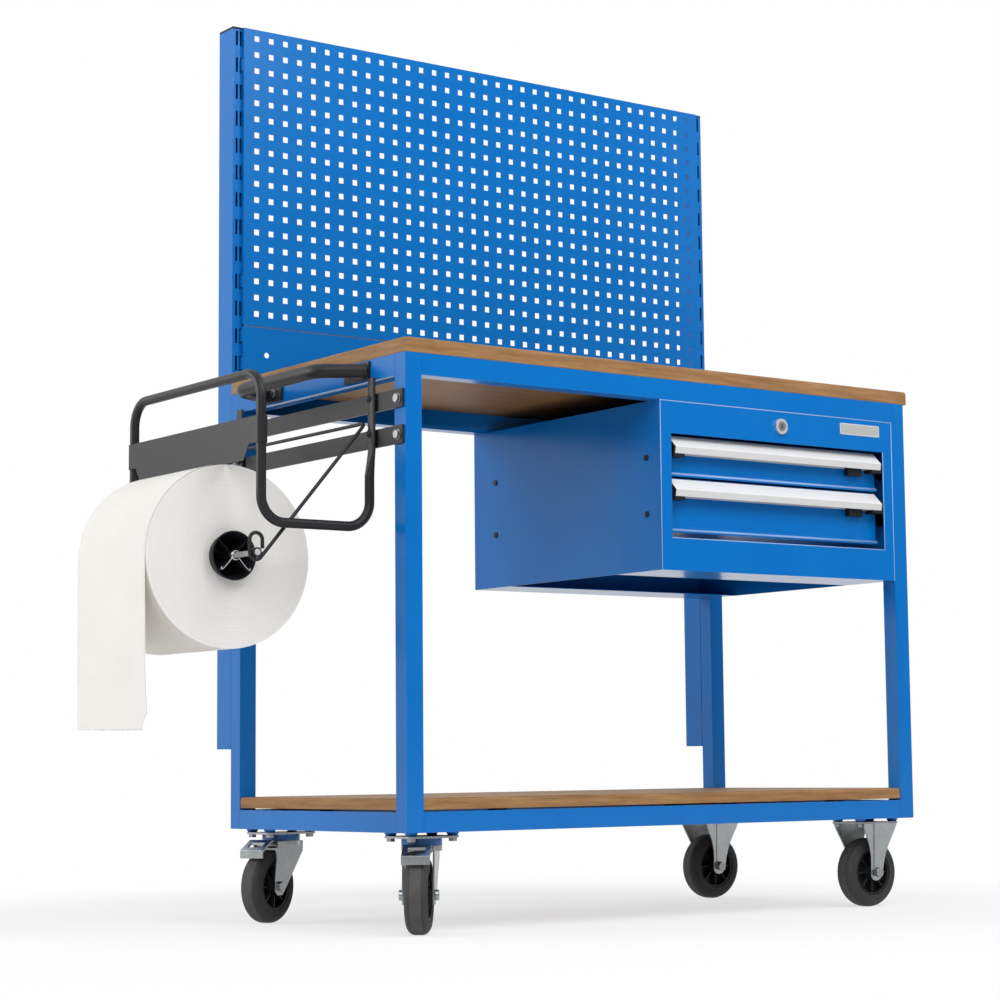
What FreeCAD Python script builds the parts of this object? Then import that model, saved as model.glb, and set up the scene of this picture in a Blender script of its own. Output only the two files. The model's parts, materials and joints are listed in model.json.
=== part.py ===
import FreeCAD, Part
import math
import os
import re
import Sketcher
from FreeCAD import Placement, Rotation, Vector

# Driving dimensions, in millimetres and degrees
sizes = {
    # Welded frame of square tube
    "frame_width": 1117.0,
    "frame_depth": 563.0,
    "frame_height": 770.0,
    "tube": 32.0,
    "tube_wall": 2.0,
    "top_rail_height": 36.0,
    "bottom_rail_height": 33.0,
    "gusset_thickness": 4.0,
    # Wooden worktop and shelf
    "top_thickness": 25.0,
    "top_overhang": 8.5,
    "edge_round": 5.0,
    "shelf_thickness": 19.0,
    "shelf_inset": 1.0,
    "pad_height": 3.0,
    "pad_width": 24.0,
    "fit_gap": 0.5,
    # Slotted uprights behind the frame
    "upright_width": 25.0,
    "upright_depth": 50.0,
    "upright_wall": 1.5,
    "upright_inset": 3.0,
    "upright_gap": 6.0,
    "upright_foot": 300.0,
    "upright_top": 1607.0,
    "upright_bolt_low": 350.0,
    "upright_bolt_high": 850.0,
    "cap_height": 4.0,
    "slot_pitch": 50.0,
    "slot_row_gap": 8.0,
    "slot_width": 4.0,
    "slot_length": 27.0,
    "slot_first": 17.0,
    # Back panels
    "panel_sheet": 1.5,
    "hook_joggle": 2.5,
    "flange_depth": 14.0,
    "panel_depth": 8.5,
    "panel_rise": 2.0,
    "panel_height": 549.0,
    "panel_gap": 2.0,
    "hole_pitch": 30.0,
    "hole_size": 10.5,
    "hole_top_margin": 17.0,
    "hook_reach": 10.0,
    "hook_height": 22.0,
    "lower_hole_radius": 5.0,
    "lower_hole_edge": 48.5,
    "lower_hole_drop": 50.0,
    # Drawer cabinet under the top rail
    "cabinet_width": 558.0,
    "cabinet_height": 297.0,
    "cabinet_sheet": 1.5,
    "stile": 25.0,
    "header": 58.0,
    "opening_height": 181.5,
    "front_flange": 130.0,
    "rear_flange": 110.0,
    "plug_radius": 5.5,
    "plug_rise": 2.0,
    "plug_drop_upper": 99.0,
    "plug_pitch": 99.0,
    "plug_from_front": 38.5,
    "plug_from_rear": 70.0,
    "label_width": 99.0,
    "label_height": 21.0,
    "label_from_edge": 32.5,
    "label_drop": 20.5,
    "label_thickness": 1.0,
    "lock_drop": 28.5,
    "lock_collar_radius": 14.0,
    "lock_barrel_radius": 9.0,
    "lock_proud": 6.0,
    "lock_length": 28.0,
    "key_slot_width": 2.4,
    "key_slot_height": 9.0,
    # Drawers, handles and runners
    "drawer_pitch": 75.0,
    "drawer_recess": 20.0,
    "upper_front_height": 72.5,
    "lower_front_height": 96.0,
    "front_sheet": 2.0,
    "front_lip": 6.0,
    "lip_height": 4.0,
    "lip_slope": 7.0,
    "drawer_side_gap": 3.0,
    "drawer_depth": 455.0,
    "drawer_sheet": 1.2,
    "drawer_top_gap": 8.0,
    "drawer_floor_gap": 7.0,
    "handle_height": 32.0,
    "handle_reach": 24.0,
    "handle_ridge_drop": 20.5,
    "handle_wall": 2.2,
    "handle_lip_back": 2.5,
    "handle_top": 3.0,
    "handle_end_gap": 4.0,
    "handle_drop": 2.0,
    "end_cap": 3.0,
    "cap_foot_length": 22.0,
    "cap_foot_height": 6.0,
    "latch_width": 34.0,
    "latch_depth": 11.0,
    "latch_drop": 13.0,
    "latch_from_end": 40.0,
    "latch_body_height": 14.0,
    "box_inset": 14.0,
    "runner_height": 26.0,
    "runner_length": 470.0,
    "runner_sheet": 2.0,
    "slide_gap": 0.3,
    # Castors
    "castor_height": 155.0,
    "spacer_height": 6.0,
    "spacer_top_radius": 11.0,
    "spacer_foot_radius": 8.0,
    "castor_edge_inset": 17.0,
    "plate_length": 100.0,
    "plate_width": 85.0,
    "plate_thickness": 3.5,
    "plate_corner": 14.0,
    "bolt_length_pitch": 80.0,
    "bolt_width_pitch": 60.0,
    "wheel_diameter": 125.0,
    "tyre_width": 37.0,
    "tyre_round": 13.0,
    "rim_diameter": 84.0,
    "rim_width": 34.0,
    "rim_wall": 5.0,
    "web_thickness": 8.0,
    "hub_radius": 15.0,
    "hub_length": 43.0,
    "rib_thickness": 2.6,
    "axle_radius": 5.0,
    "running_gap": 0.05,
    "axle_head_radius": 8.5,
    "axle_head": 6.0,
    "fork_sheet": 3.0,
    "fork_gap": 1.5,
    "fork_top_width": 84.0,
    "fork_boss": 15.0,
    "fork_rib_width": 34.0,
    "fork_rib_rise": 1.5,
    "castor_trail": 42.0,
    "race_radius": 33.0,
    "race_height": 11.5,
    "crown_height": 8.7,
    "kingpin_radius": 6.0,
    "kingpin_head_radius": 10.0,
    "kingpin_head": 3.0,
    "front_swivel_angle": 50.0,
    "rear_swivel_angle": 26.0,
    "pedal_pin_radius": 3.0,
    "pedal_eye_radius": 5.5,
    "pedal_arm_width": 40.0,
    "pedal_width": 46.0,
    "pedal_sheet": 2.5,
    "pedal_pin_step": 2.0,
    "pedal_pin_rise": 2.5,
    "pedal_arm": 22.0,
    "pedal_rise": 9.5,
    "pedal_foot_reach": 52.0,
    "pedal_foot_drop": 7.5,
    "pedal_lip": 14.0,
    "pedal_slot": 28.0,
    "pedal_slot_edge": 9.0,
    "crown_back": 48.0,
    "crown_front": 30.0,
    "crown_inner": 26.0,
    # Paper roll holder on the left end
    "bar_height": 30.0,
    "bar_thickness": 4.0,
    "bar_end_inset": 3.0,
    "upper_bar_centre": 856.0,
    "lower_bar_centre": 797.0,
    "holder_offset": 22.5,
    "hoop_width": 432.0,
    "hoop_radius": 8.0,
    "hoop_wall": 1.5,
    "hoop_bend": 42.0,
    "hoop_reach": 214.0,
    "hoop_bottom": 652.0,
    "hoop_top": 892.0,
    "hoop_tip": 897.0,
    "flat_start": 778.0,
    "flat_neck": 42.0,
    "flat_width": 21.0,
    "flat_thickness": 7.0,
    "tear_sheet": 1.5,
    "sleeve_height": 43.0,
    "tear_lip": 25.0,
    "tear_step": 22.0,
    "tear_slant": 18.0,
    "sleeve_gap": 0.3,
    "wire_radius": 3.0,
    "wire_height": 824.0,
    "wire_bend": 12.0,
    "loop_gap": 0.4,
    "loop_height": 20.0,
    "axle_collar_radius": 8.0,
    "axle_collar": 10.0,
    "roll_axle_radius": 4.5,
    "roll_axle_past_loop": 7.0,
    "roll_reach": 216.5,
    "roll_height": 604.0,
    "roll_diameter": 296.0,
    "roll_width": 235.0,
    "roll_bore": 71.0,
    "cone_rim_radius": 40.0,
    "cone_proud": 18.5,
    "cone_depth": 45.0,
    "cone_wall": 2.5,
    "cone_hub_radius": 8.0,
    "tail_gap": 0.4,
    "tail_thickness": 0.8,
    "tail_foot": 326.0,
    "tail_torn": 14.0,
    # Push handle on the left end
    "grip_radius": 12.0,
    "grip_reach": 71.0,
    "grip_foot_span": 167.0,
    "grip_bend_span": 128.0,
    "grip_bend": 40.0,
    "foot_thickness": 4.0,
    "foot_height": 30.0,
    "foot_end": 178.0,
    "foot_start": 103.0,
    "foot_bolt": 123.0,
    # Fasteners
    "bolt_radius": 4.0,
    "bolt_clearance": 0.4,
    "bolt_head_radius": 7.5,
    "bolt_head": 5.5,
    "bolt_grip": 12.0,
}

doc = FreeCAD.newDocument("MobileWorkbench")
sheet = doc.addObject("Spreadsheet::Sheet", "Sizes")
for row, (alias, value) in enumerate(sizes.items(), start=1):
    sheet.set(f"A{row}", alias)
    sheet.set(f"B{row}", str(value))
    sheet.setAlias(f"B{row}", alias)
doc.recompute()

# Numbers of copies
slot_count = 13
hole_rows = 18
hole_columns = 35
rib_count = 8

nodes = []


# Names of sheet cells in a formula, written so that the document can read them
def cells(formula):
    return re.sub(r"[a-z][a-z_]*",
                  lambda word: f"Sizes.{word[0]}" if word[0] in sizes else word[0],
                  formula)


def number(formula):
    return float(sheet.evalExpression(cells(formula)))


def bind(made, prop, formula):
    made.setExpression(prop, cells(formula))


def place(made, x, y, z, rotation=Rotation()):
    made.Placement = Placement(Vector(), rotation)
    for prop, formula in zip("xyz", (x, y, z)):
        bind(made, f"Placement.Base.{prop}", formula)
    return made


# The part's origin lies on the floor under the middle of the whole outline
half_width = "(frame_width / 2)"
half_depth = "(frame_depth / 2)"
roll_outline = f"({half_width} + roll_reach + roll_diameter / 2 + tail_gap + tail_thickness)"
top_outline = f"({half_width} + top_overhang)"
origin_x = f"(({roll_outline} - {top_outline}) / 2)"
castor_x = f"({half_width} - castor_edge_inset - plate_length / 2)"
castor_y = f"({half_depth} - castor_edge_inset - plate_width / 2)"
pedal_reach = "(castor_trail - pedal_pin_step + pedal_foot_reach)"
front_outline = (f"({castor_y} + {pedal_reach} * sin(front_swivel_angle * 1deg)"
                 " + pedal_width / 2 * cos(front_swivel_angle * 1deg))")
rear_outline = f"({half_depth} + upright_gap + upright_depth + bolt_head)"
origin_y = f"(({front_outline} - {rear_outline}) / 2)"

# Levels above the floor
frame_foot = "(castor_height + spacer_height)"
frame_top = f"({frame_foot} + frame_height)"
rail_under = f"({frame_top} - top_rail_height)"
shelf_foot = f"({frame_foot} + bottom_rail_height + pad_height)"
axle_level = "(wheel_diameter / 2)"


# A low and a high limit on one side of the middle
def side(sign, near, far):
    return (near, far) if sign > 0 else (f"-({far})", f"-({near})")


def slab(x, y, z):
    made = doc.addObject("Part::Box", "Slab")
    for prop, (low, high) in zip(("Length", "Width", "Height"), (x, y, z)):
        bind(made, prop, f"({high}) - ({low})")
    return place(made, x[0], y[0], z[0])


turns = {"x": Rotation(Vector(0, 1, 0), 90), "y": Rotation(Vector(1, 0, 0), -90), "z": Rotation()}


def rod(axis, radius, length, x, y, z):
    made = doc.addObject("Part::Cylinder", "Rod")
    bind(made, "Radius", radius)
    bind(made, "Height", length)
    return place(made, x, y, z, turns[axis])


def taper(axis, start_radius, end_radius, length, x, y, z):
    made = doc.addObject("Part::Cone", "Taper")
    bind(made, "Radius1", start_radius)
    bind(made, "Radius2", end_radius)
    bind(made, "Height", length)
    return place(made, x, y, z, turns[axis])


def compound(pieces):
    made = doc.addObject("Part::Compound", "Set")
    made.Links = pieces
    return made


def cut(base, tools):
    made = doc.addObject("Part::Cut", "Cut")
    made.Base = base
    made.Tool = tools[0] if len(tools) == 1 else compound(tools)
    return made


def fuse(pieces):
    made = doc.addObject("Part::MultiFuse", "Fuse")
    made.Shapes = pieces
    return made


def square_tube(x, y, z, wall, axis):
    inner = []
    for name, (low, high) in zip("xyz", (x, y, z)):
        inner.append((low, high) if name == axis else (f"{low} + {wall}", f"{high} - {wall}"))
    return cut(slab(x, y, z), [slab(*inner)])


# A closed outline of straight edges on one of the body's own planes
def outline(body, plane, corners):
    sketch = body.newObject("Sketcher::SketchObject", "Outline")
    support = next(item for item in body.Origin.OriginFeatures if item.Role == plane)
    sketch.AttachmentSupport = [(support, "")]
    sketch.MapMode = "FlatFace"
    places = [Vector(number(u), number(v), 0) for u, v in corners]
    count = len(corners)
    for index in range(count):
        sketch.addGeometry(Part.LineSegment(places[index], places[(index + 1) % count]), False)
    for index in range(count):
        sketch.addConstraint(Sketcher.Constraint("Coincident", index, 2, (index + 1) % count, 1))
    for index, corner in enumerate(corners):
        for kind, formula in zip(("DistanceX", "DistanceY"), corner):
            rule = Sketcher.Constraint(kind, -1, 1, index, 1, number(formula))
            bind(sketch, f"Constraints[{sketch.addConstraint(rule)}]", formula)
    return sketch


def padded(plane, corners, depth, x="0", y="0", z="0", rotation=Rotation(), middle=False):
    body = doc.addObject("PartDesign::Body", "Body")
    pad = body.newObject("PartDesign::Pad", "Pad")
    pad.Profile = outline(body, plane, corners)
    pad.Midplane = middle
    bind(pad, "Length", depth)
    return place(body, x, y, z, rotation)


# A ring or a wheel, turned about its own upright axis
def turned(corners, x="0", y="0", z="0", rotation=Rotation()):
    body = doc.addObject("PartDesign::Body", "Body")
    sketch = outline(body, "XZ_Plane", corners)
    solid = body.newObject("PartDesign::Revolution", "Revolution")
    solid.Profile = sketch
    solid.ReferenceAxis = (sketch, ["V_Axis"])
    solid.Angle = 360
    return place(body, x, y, z, rotation)


def rounded(body, radius, chosen):
    body.recompute(True)
    solid = body.Tip
    edges = enumerate(solid.Shape.Edges, start=1)
    names = [f"Edge{index}" for index, edge in edges if chosen(edge)]
    fillet = body.newObject("PartDesign::Fillet", "Fillet")
    fillet.Base = (solid, names)
    bind(fillet, "Radius", radius)
    body.Tip = fillet
    return body


# Straight runs joined by tangent arcs, each arc given by its corner's radius
def bent_path(corners, bends):
    edges = []
    last = corners[0]
    for before, corner, after, bend in zip(corners, corners[1:], corners[2:], bends):
        back = (before - corner).normalize()
        ahead = (after - corner).normalize()
        half_angle = back.getAngle(ahead) / 2
        start = corner + back * (bend / math.tan(half_angle))
        finish = corner + ahead * (bend / math.tan(half_angle))
        centre = corner + (back + ahead).normalize() * (bend / math.sin(half_angle))
        middle = centre + (corner - centre).normalize() * bend
        if (start - last).Length > 1e-6:
            edges.append(Part.LineSegment(last, start).toShape())
        edges.append(Part.Arc(start, middle, finish).toShape())
        last = finish
    edges.append(Part.LineSegment(last, corners[-1]).toShape())
    return Part.Wire(edges)


def round_bar(path, radius):
    first = path.Edges[0]
    start = first.valueAt(first.FirstParameter)
    ring = Part.Wire([Part.makeCircle(radius, start, first.tangentAt(first.FirstParameter))])
    return path.makePipeShell([ring], True, False)


def shaped(shape):
    made = doc.addObject("Part::Feature", "Shaped")
    made.Shape = shape
    return made


# One named piece, or a set of equal pieces, set down in the part's frame
def node(label, pieces, x="0", y="0", z="0", turn="0"):
    made = compound(pieces)
    made.Label = label
    rotation = Rotation(Vector(0, 0, 1), number(turn))
    place(made, f"{origin_x} + ({x})", f"{origin_y} + ({y})", z, rotation)
    nodes.append(made)


# Hexagon bolt: the head's seat lies at the given point, the shank runs along the axis
def bolt(axis, sign, x, y, z, grip):
    if sign > 0:
        shank = rod(axis, "bolt_radius", grip, x, y, z)
    else:
        shank = rod(axis, "bolt_radius", grip, *shifted(axis, x, y, z, f"-({grip})"))
    head = doc.addObject("Part::Prism", "Head")
    head.Polygon = 6
    bind(head, "Circumradius", "bolt_head_radius")
    bind(head, "Height", "bolt_head")
    if sign > 0:
        place(head, *shifted(axis, x, y, z, "-bolt_head"), turns[axis])
    else:
        place(head, x, y, z, turns[axis])
    return fuse([head, shank])


def shifted(axis, x, y, z, step):
    moved = {"x": x, "y": y, "z": z}
    moved[axis] = f"({moved[axis]}) + ({step})"
    return moved["x"], moved["y"], moved["z"]


# Places of the castors, uprights and bolts that other pieces are drilled for
upright_outer = f"({half_width} - upright_inset)"
upright_mid = f"({upright_outer} - upright_width / 2)"
upright_front = f"({half_depth} + upright_gap)"
upright_rear = f"({upright_front} + upright_depth)"
leg_mid_y = f"({half_depth} - tube / 2)"
clear_hole = "(bolt_radius + bolt_clearance)"
handle_level = f"({frame_top} - top_rail_height / 2)"
upright_bolt_levels = ("upright_bolt_low", "upright_bolt_high")
bar_centres = ("upper_bar_centre", "lower_bar_centre")

castors = {
    "front_left": (-1, -1, "front_swivel_angle"),
    "rear_left": (-1, 1, "rear_swivel_angle"),
    "front_right": (1, -1, "0"),
    "rear_right": (1, 1, "0"),
}


def castor_bolt_places():
    for sign_x, sign_y, _ in castors.values():
        for step_x in (-1, 1):
            for step_y in (-1, 1):
                x = f"{sign_x} * {castor_x} + {step_x} * bolt_length_pitch / 2"
                y = f"{sign_y} * {castor_y} + {step_y} * bolt_width_pitch / 2"
                yield x, y


def castor_drillings():
    return [rod("z", clear_hole, "bolt_grip", x, y, frame_foot) for x, y in castor_bolt_places()]


def leg_drillings():
    holes = []
    for level in upright_bolt_levels:
        for sign in (-1, 1):
            x = f"{sign} * {upright_mid}"
            holes.append(rod("y", clear_hole, "bolt_grip", x, f"{half_depth} - bolt_grip", level))
    for level in bar_centres:
        for sign in (-1, 1):
            y = f"{sign} * {leg_mid_y}"
            holes.append(rod("x", clear_hole, "bolt_grip", f"-{half_width}", y, level))
    return holes


# Welded frame
def frame():
    inner_x = f"({half_width} - tube)"
    inner_y = f"({half_depth} - tube)"
    legs = []
    for sign_x in (-1, 1):
        for sign_y in (-1, 1):
            legs.append(square_tube(side(sign_x, inner_x, half_width),
                                    side(sign_y, inner_y, half_depth),
                                    (frame_foot, frame_top), "tube_wall", "z"))
    node("legs", [cut(compound(legs), castor_drillings() + leg_drillings())])

    def ring(z):
        rails = []
        for sign in (-1, 1):
            rails.append(square_tube((f"-{inner_x}", inner_x), side(sign, inner_y, half_depth),
                                     z, "tube_wall", "x"))
            rails.append(square_tube(side(sign, inner_x, half_width), (f"-{inner_y}", inner_y),
                                     z, "tube_wall", "y"))
        return compound(rails)

    grip_holes = [rod("x", clear_hole, "bolt_grip", f"-{half_width}", f"{sign} * foot_bolt",
                      handle_level) for sign in (-1, 1)]
    node("top_rails", [cut(ring((rail_under, frame_top)), grip_holes)])
    low_rails = ring((frame_foot, f"{frame_foot} + bottom_rail_height"))
    node("bottom_rails", [cut(low_rails, castor_drillings())])

    gussets = []
    for sign_x in (-1, 1):
        for sign_y in (-1, 1):
            gussets.append(slab(side(sign_x, f"{castor_x} - plate_length / 2", inner_x),
                                side(sign_y, f"{castor_y} - plate_width / 2", inner_y),
                                (frame_foot, f"{frame_foot} + gusset_thickness")))
    node("corner_gussets", [cut(compound(gussets), castor_drillings())])


# Wooden worktop, shelf and the pads under the shelf
def boards():
    left, right = f"-{half_width}", f"{half_width} + top_overhang"
    # The flat of the top ends in front of the panels, which stand over its rounded rear edge
    front, rear = f"-{half_depth}", f"{upright_front} - panel_depth + edge_round - fit_gap"
    corners = [(left, front), (right, front), (right, rear), (left, rear)]
    top = padded("XY_Plane", corners, "top_thickness", z=frame_top)
    height = number("top_thickness")
    node("worktop", [rounded(top, "edge_round",
                             lambda edge: min(v.Z for v in edge.Vertexes) > height - 0.01)])

    half_x = f"({half_width} - shelf_inset)"
    half_y = f"({half_depth} - shelf_inset)"
    notch_x = f"({half_width} - tube - fit_gap)"
    notch_y = f"({half_depth} - tube - fit_gap)"
    corners = []
    for sign_x, sign_y in ((-1, -1), (1, -1), (1, 1), (-1, 1)):
        stair = [(half_x, notch_y), (notch_x, notch_y), (notch_x, half_y)]
        if sign_x != sign_y:
            stair.reverse()
        corners += [(f"{sign_x} * {x}", f"{sign_y} * {y}") for x, y in stair]
    shelf = padded("XY_Plane", corners, "shelf_thickness", z=shelf_foot)
    depth = number("shelf_thickness")
    limit_x = number(half_x) - 0.01
    limit_y = number(half_y) - 0.01

    def outer_top(edge):
        ends = edge.Vertexes
        if min(v.Z for v in ends) < depth - 0.01:
            return False
        return all(abs(v.X) > limit_x for v in ends) or all(abs(v.Y) > limit_y for v in ends)

    node("shelf", [rounded(shelf, "edge_round", outer_top)])

    pads = []
    rail_x = f"({half_width} - tube / 2)"
    rail_y = f"({half_depth} - tube / 2)"
    level = (f"{frame_foot} + bottom_rail_height", shelf_foot)
    for sign in (-1, 1):
        for step in (-1, 0, 1):
            middle = f"{step} * frame_width / 3"
            pads.append(slab((f"{middle} - pad_width / 2", f"{middle} + pad_width / 2"),
                             side(sign, f"{rail_y} - pad_width / 2", f"{rail_y} + pad_width / 2"),
                             level))
        pads.append(slab(side(sign, f"{rail_x} - pad_width / 2", f"{rail_x} + pad_width / 2"),
                         ("-pad_width / 2", "pad_width / 2"), level))
    node("shelf_pads", pads)


# Slotted uprights with their caps, and the spacers between them and the frame
def uprights():
    caps = []
    spacers = []
    inner = f"({upright_outer} - upright_width)"
    for name, sign in (("left", -1), ("right", 1)):
        across = side(sign, inner, upright_outer)
        along = (upright_front, upright_rear)
        post = square_tube(across, along, ("upright_foot", "upright_top"), "upright_wall", "z")
        tools = []
        for row in (-1, 1):
            middle = f"({sign} * {upright_mid} + {row} * slot_row_gap / 2)"
            for step in range(slot_count):
                centre = f"(upright_top - slot_first - {step} * slot_pitch)"
                tools.append(slab((f"{middle} - slot_width / 2", f"{middle} + slot_width / 2"),
                                  (upright_front, f"{upright_front} + upright_wall"),
                                  (f"{centre} - slot_length / 2", f"{centre} + slot_length / 2")))
        for level in upright_bolt_levels:
            tools.append(rod("y", clear_hole, "upright_depth",
                             f"{sign} * {upright_mid}", upright_front, level))
            spacer = slab(across, (half_depth, upright_front),
                          (f"{level} - upright_width", f"{level} + upright_width"))
            hole = rod("y", clear_hole, "upright_gap", f"{sign} * {upright_mid}", half_depth, level)
            spacers.append(cut(spacer, [hole]))
        node(f"upright_{name}", [cut(post, tools)])
        caps.append(slab(across, along, ("upright_top", "upright_top + cap_height")))
    node("upright_caps", caps)
    node("upright_spacers", spacers)


# Panels hooked into the uprights: a sheet with side returns, and hooks in the slots
def panels():
    hook_mid = f"({upright_mid} - slot_row_gap / 2)"
    edge = f"({hook_mid} - hook_joggle + panel_sheet / 2)"
    between = f"({upright_outer} - upright_width - fit_gap)"
    front = f"({upright_front} - panel_depth)"
    back_of_sheet = f"({front} + panel_sheet)"
    top = "(upright_top + panel_rise)"
    split = f"({top} - panel_height)"
    low_top = f"({split} - panel_gap)"
    low_foot = f"({frame_top} + top_thickness + panel_gap)"

    def returns(foot, head, hook_steps, deep):
        pieces = []
        for sign in (-1, 1):
            across = side(sign, f"{edge} - panel_sheet", edge)
            pieces.append(slab(across, (back_of_sheet, upright_front), (foot, head)))
            for step in hook_steps:
                centre = f"(upright_top - slot_first - {step} * slot_pitch)"
                tall = (f"{centre} - hook_height / 2", f"{centre} + hook_height / 2")
                pieces.append(slab(side(sign, f"{edge} - panel_sheet", f"{hook_mid} + panel_sheet / 2"),
                                   (back_of_sheet, upright_front), tall))
                pieces.append(slab(side(sign, f"{hook_mid} - panel_sheet / 2", f"{hook_mid} + panel_sheet / 2"),
                                   (back_of_sheet, f"{upright_front} + hook_reach"), tall))
        for low, high in ((foot, f"{foot} + panel_sheet"), (f"{head} - panel_sheet", head)):
            pieces.append(slab((f"-{edge}", edge), (back_of_sheet, upright_front), (low, high)))
        # The flange towards the other panel is deeper and reaches in between the uprights
        pieces.append(slab((f"-{between}", between), (back_of_sheet, f"{upright_front} + flange_depth"),
                           (deep, f"{deep} + panel_sheet")))
        return pieces

    # Square holes of the large panel, cut out of one flat face before it gets its thickness
    half = number(edge)
    level = number(front)
    low, high = number(split), number(top)
    border = Part.makePolygon([Vector(x, level, z) for x, z in
                               ((-half, low), (half, low), (half, high), (-half, high),
                                (-half, low))])
    pitch = number("hole_pitch")
    reach = number("hole_size") / 2
    first = number(f"{top} - hole_top_margin")
    wires = [border]
    for row in range(hole_rows):
        for column in range(hole_columns):
            x = (column - (hole_columns - 1) / 2) * pitch
            z = first - row * pitch
            wires.append(Part.makePolygon([Vector(x + u * reach, level, z + v * reach) for u, v in
                                           ((-1, -1), (1, -1), (1, 1), (-1, 1), (-1, -1))]))
    face = Part.makeFace(wires, "Part::FaceMakerBullseye")
    sheet_solid = shaped(face.extrude(Vector(0, number("panel_sheet"), 0)))
    node("perforated_panel", [fuse([sheet_solid] + returns(split, top, (1, 9), split))])

    plain = slab((f"-{edge}", edge), (front, back_of_sheet), (low_foot, low_top))
    holes = [rod("y", "lower_hole_radius", "panel_sheet", f"{sign} * ({edge} - lower_hole_edge)",
                 front, f"{low_top} - lower_hole_drop") for sign in (-1, 1)]
    node("lower_panel", [fuse([cut(plain, holes)] + returns(low_foot, low_top, (11, 12), f"({low_top} - panel_sheet)"))])


# Bolts of the uprights, the roll holder's bars and the push handle
def bolts():
    made = []
    for level in upright_bolt_levels:
        for sign in (-1, 1):
            made.append(bolt("y", -1, f"{sign} * {upright_mid}", upright_rear, level,
                             "upright_depth + upright_gap + bolt_grip"))
    for level in bar_centres:
        for sign in (-1, 1):
            made.append(bolt("x", 1, f"-{half_width} - bar_thickness", f"{sign} * {leg_mid_y}",
                             level, "bar_thickness + bolt_grip"))
    for sign in (-1, 1):
        made.append(bolt("x", 1, f"-{half_width} - foot_thickness", f"{sign} * foot_bolt",
                         handle_level, "foot_thickness + bolt_grip"))
    node("frame_bolts", made)


# Drawer cabinet: its place between the front and rear rails
cabinet_right = f"({half_width} - tube)"
cabinet_left = f"({cabinet_right} - cabinet_width)"
cabinet_mid = f"({cabinet_right} - cabinet_width / 2)"
cabinet_foot = f"({rail_under} - cabinet_height)"
opening_left = f"({cabinet_left} + stile)"
opening_right = f"({cabinet_right} - stile)"
opening_top = f"({rail_under} - header)"
opening_foot = f"({opening_top} - opening_height)"
drawer_face = f"(-{half_depth} + drawer_recess)"
lock_level = f"({rail_under} - lock_drop)"


def cabinet():
    left, right = (cabinet_left, cabinet_right)
    front, rear = (f"-{half_depth}", half_depth)
    foot, head = (cabinet_foot, rail_under)
    thick = "cabinet_sheet"
    shell = cut(slab((left, right), (front, rear), (foot, head)),
                [slab((f"{left} + {thick}", f"{right} - {thick}"),
                      (f"{front} + {thick}", f"{rear} - {thick}"),
                      (f"{foot} + {thick}", f"{head} - {thick}"))])
    opening = slab((opening_left, opening_right), (front, f"{front} + {thick}"),
                   (opening_foot, opening_top))
    under = slab((f"{left} + {thick}", f"{right} - {thick}"),
                 (f"{front} + front_flange", f"{rear} - rear_flange"),
                 (foot, f"{foot} + {thick}"))
    lock_hole = rod("y", "lock_barrel_radius + running_gap", thick, cabinet_mid, front, lock_level)
    plug_holes = []
    plugs = []
    for y in (f"{front} + plug_from_front", f"{rear} - plug_from_rear"):
        for step in (0, 1):
            level = f"{head} - plug_drop_upper - {step} * plug_pitch"
            plug_holes.append(rod("x", "plug_radius - 1", thick, left, y, level))
            cap = rod("x", "plug_radius", "plug_rise", f"{left} - plug_rise", y, level)
            stem = rod("x", "plug_radius - 1 - slide_gap", thick, left, y, level)
            plugs.append(fuse([cap, stem]))
    node("cabinet_casing", [cut(shell, [opening, under, lock_hole] + plug_holes)])
    node("cabinet_plugs", plugs)

    plate_right = f"({right} - label_from_edge)"
    plate_mid = f"({head} - label_drop)"
    corners = [(f"{plate_right} - label_width", f"{plate_mid} - label_height / 2"),
               (plate_right, f"{plate_mid} - label_height / 2"),
               (plate_right, f"{plate_mid} + label_height / 2"),
               (f"{plate_right} - label_width", f"{plate_mid} + label_height / 2")]
    plate = padded("XZ_Plane", corners, "label_thickness", y=front)
    node("label_plate", [rounded(plate, "label_thickness * 3", along_y)])

    collar = rod("y", "lock_collar_radius", "lock_proud", cabinet_mid, f"{front} - lock_proud",
                 lock_level)
    bore = rod("y", "lock_barrel_radius + running_gap", "lock_proud", cabinet_mid,
               f"{front} - lock_proud", lock_level)
    node("lock_collar", [cut(collar, [bore])])
    barrel = rod("y", "lock_barrel_radius", "lock_length", cabinet_mid, f"{front} - lock_proud",
                 lock_level)
    key_slot = slab((f"{cabinet_mid} - key_slot_width / 2", f"{cabinet_mid} + key_slot_width / 2"),
                    (f"{front} - lock_proud", f"{front} - lock_proud + key_slot_height"),
                    (f"{lock_level} - key_slot_height / 2", f"{lock_level} + key_slot_height / 2"))
    node("lock_barrel", [cut(barrel, [key_slot])])


def along_y(edge):
    ends = edge.Vertexes
    return abs(ends[0].X - ends[-1].X) < 0.01 and abs(ends[0].Z - ends[-1].Z) < 0.01


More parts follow.
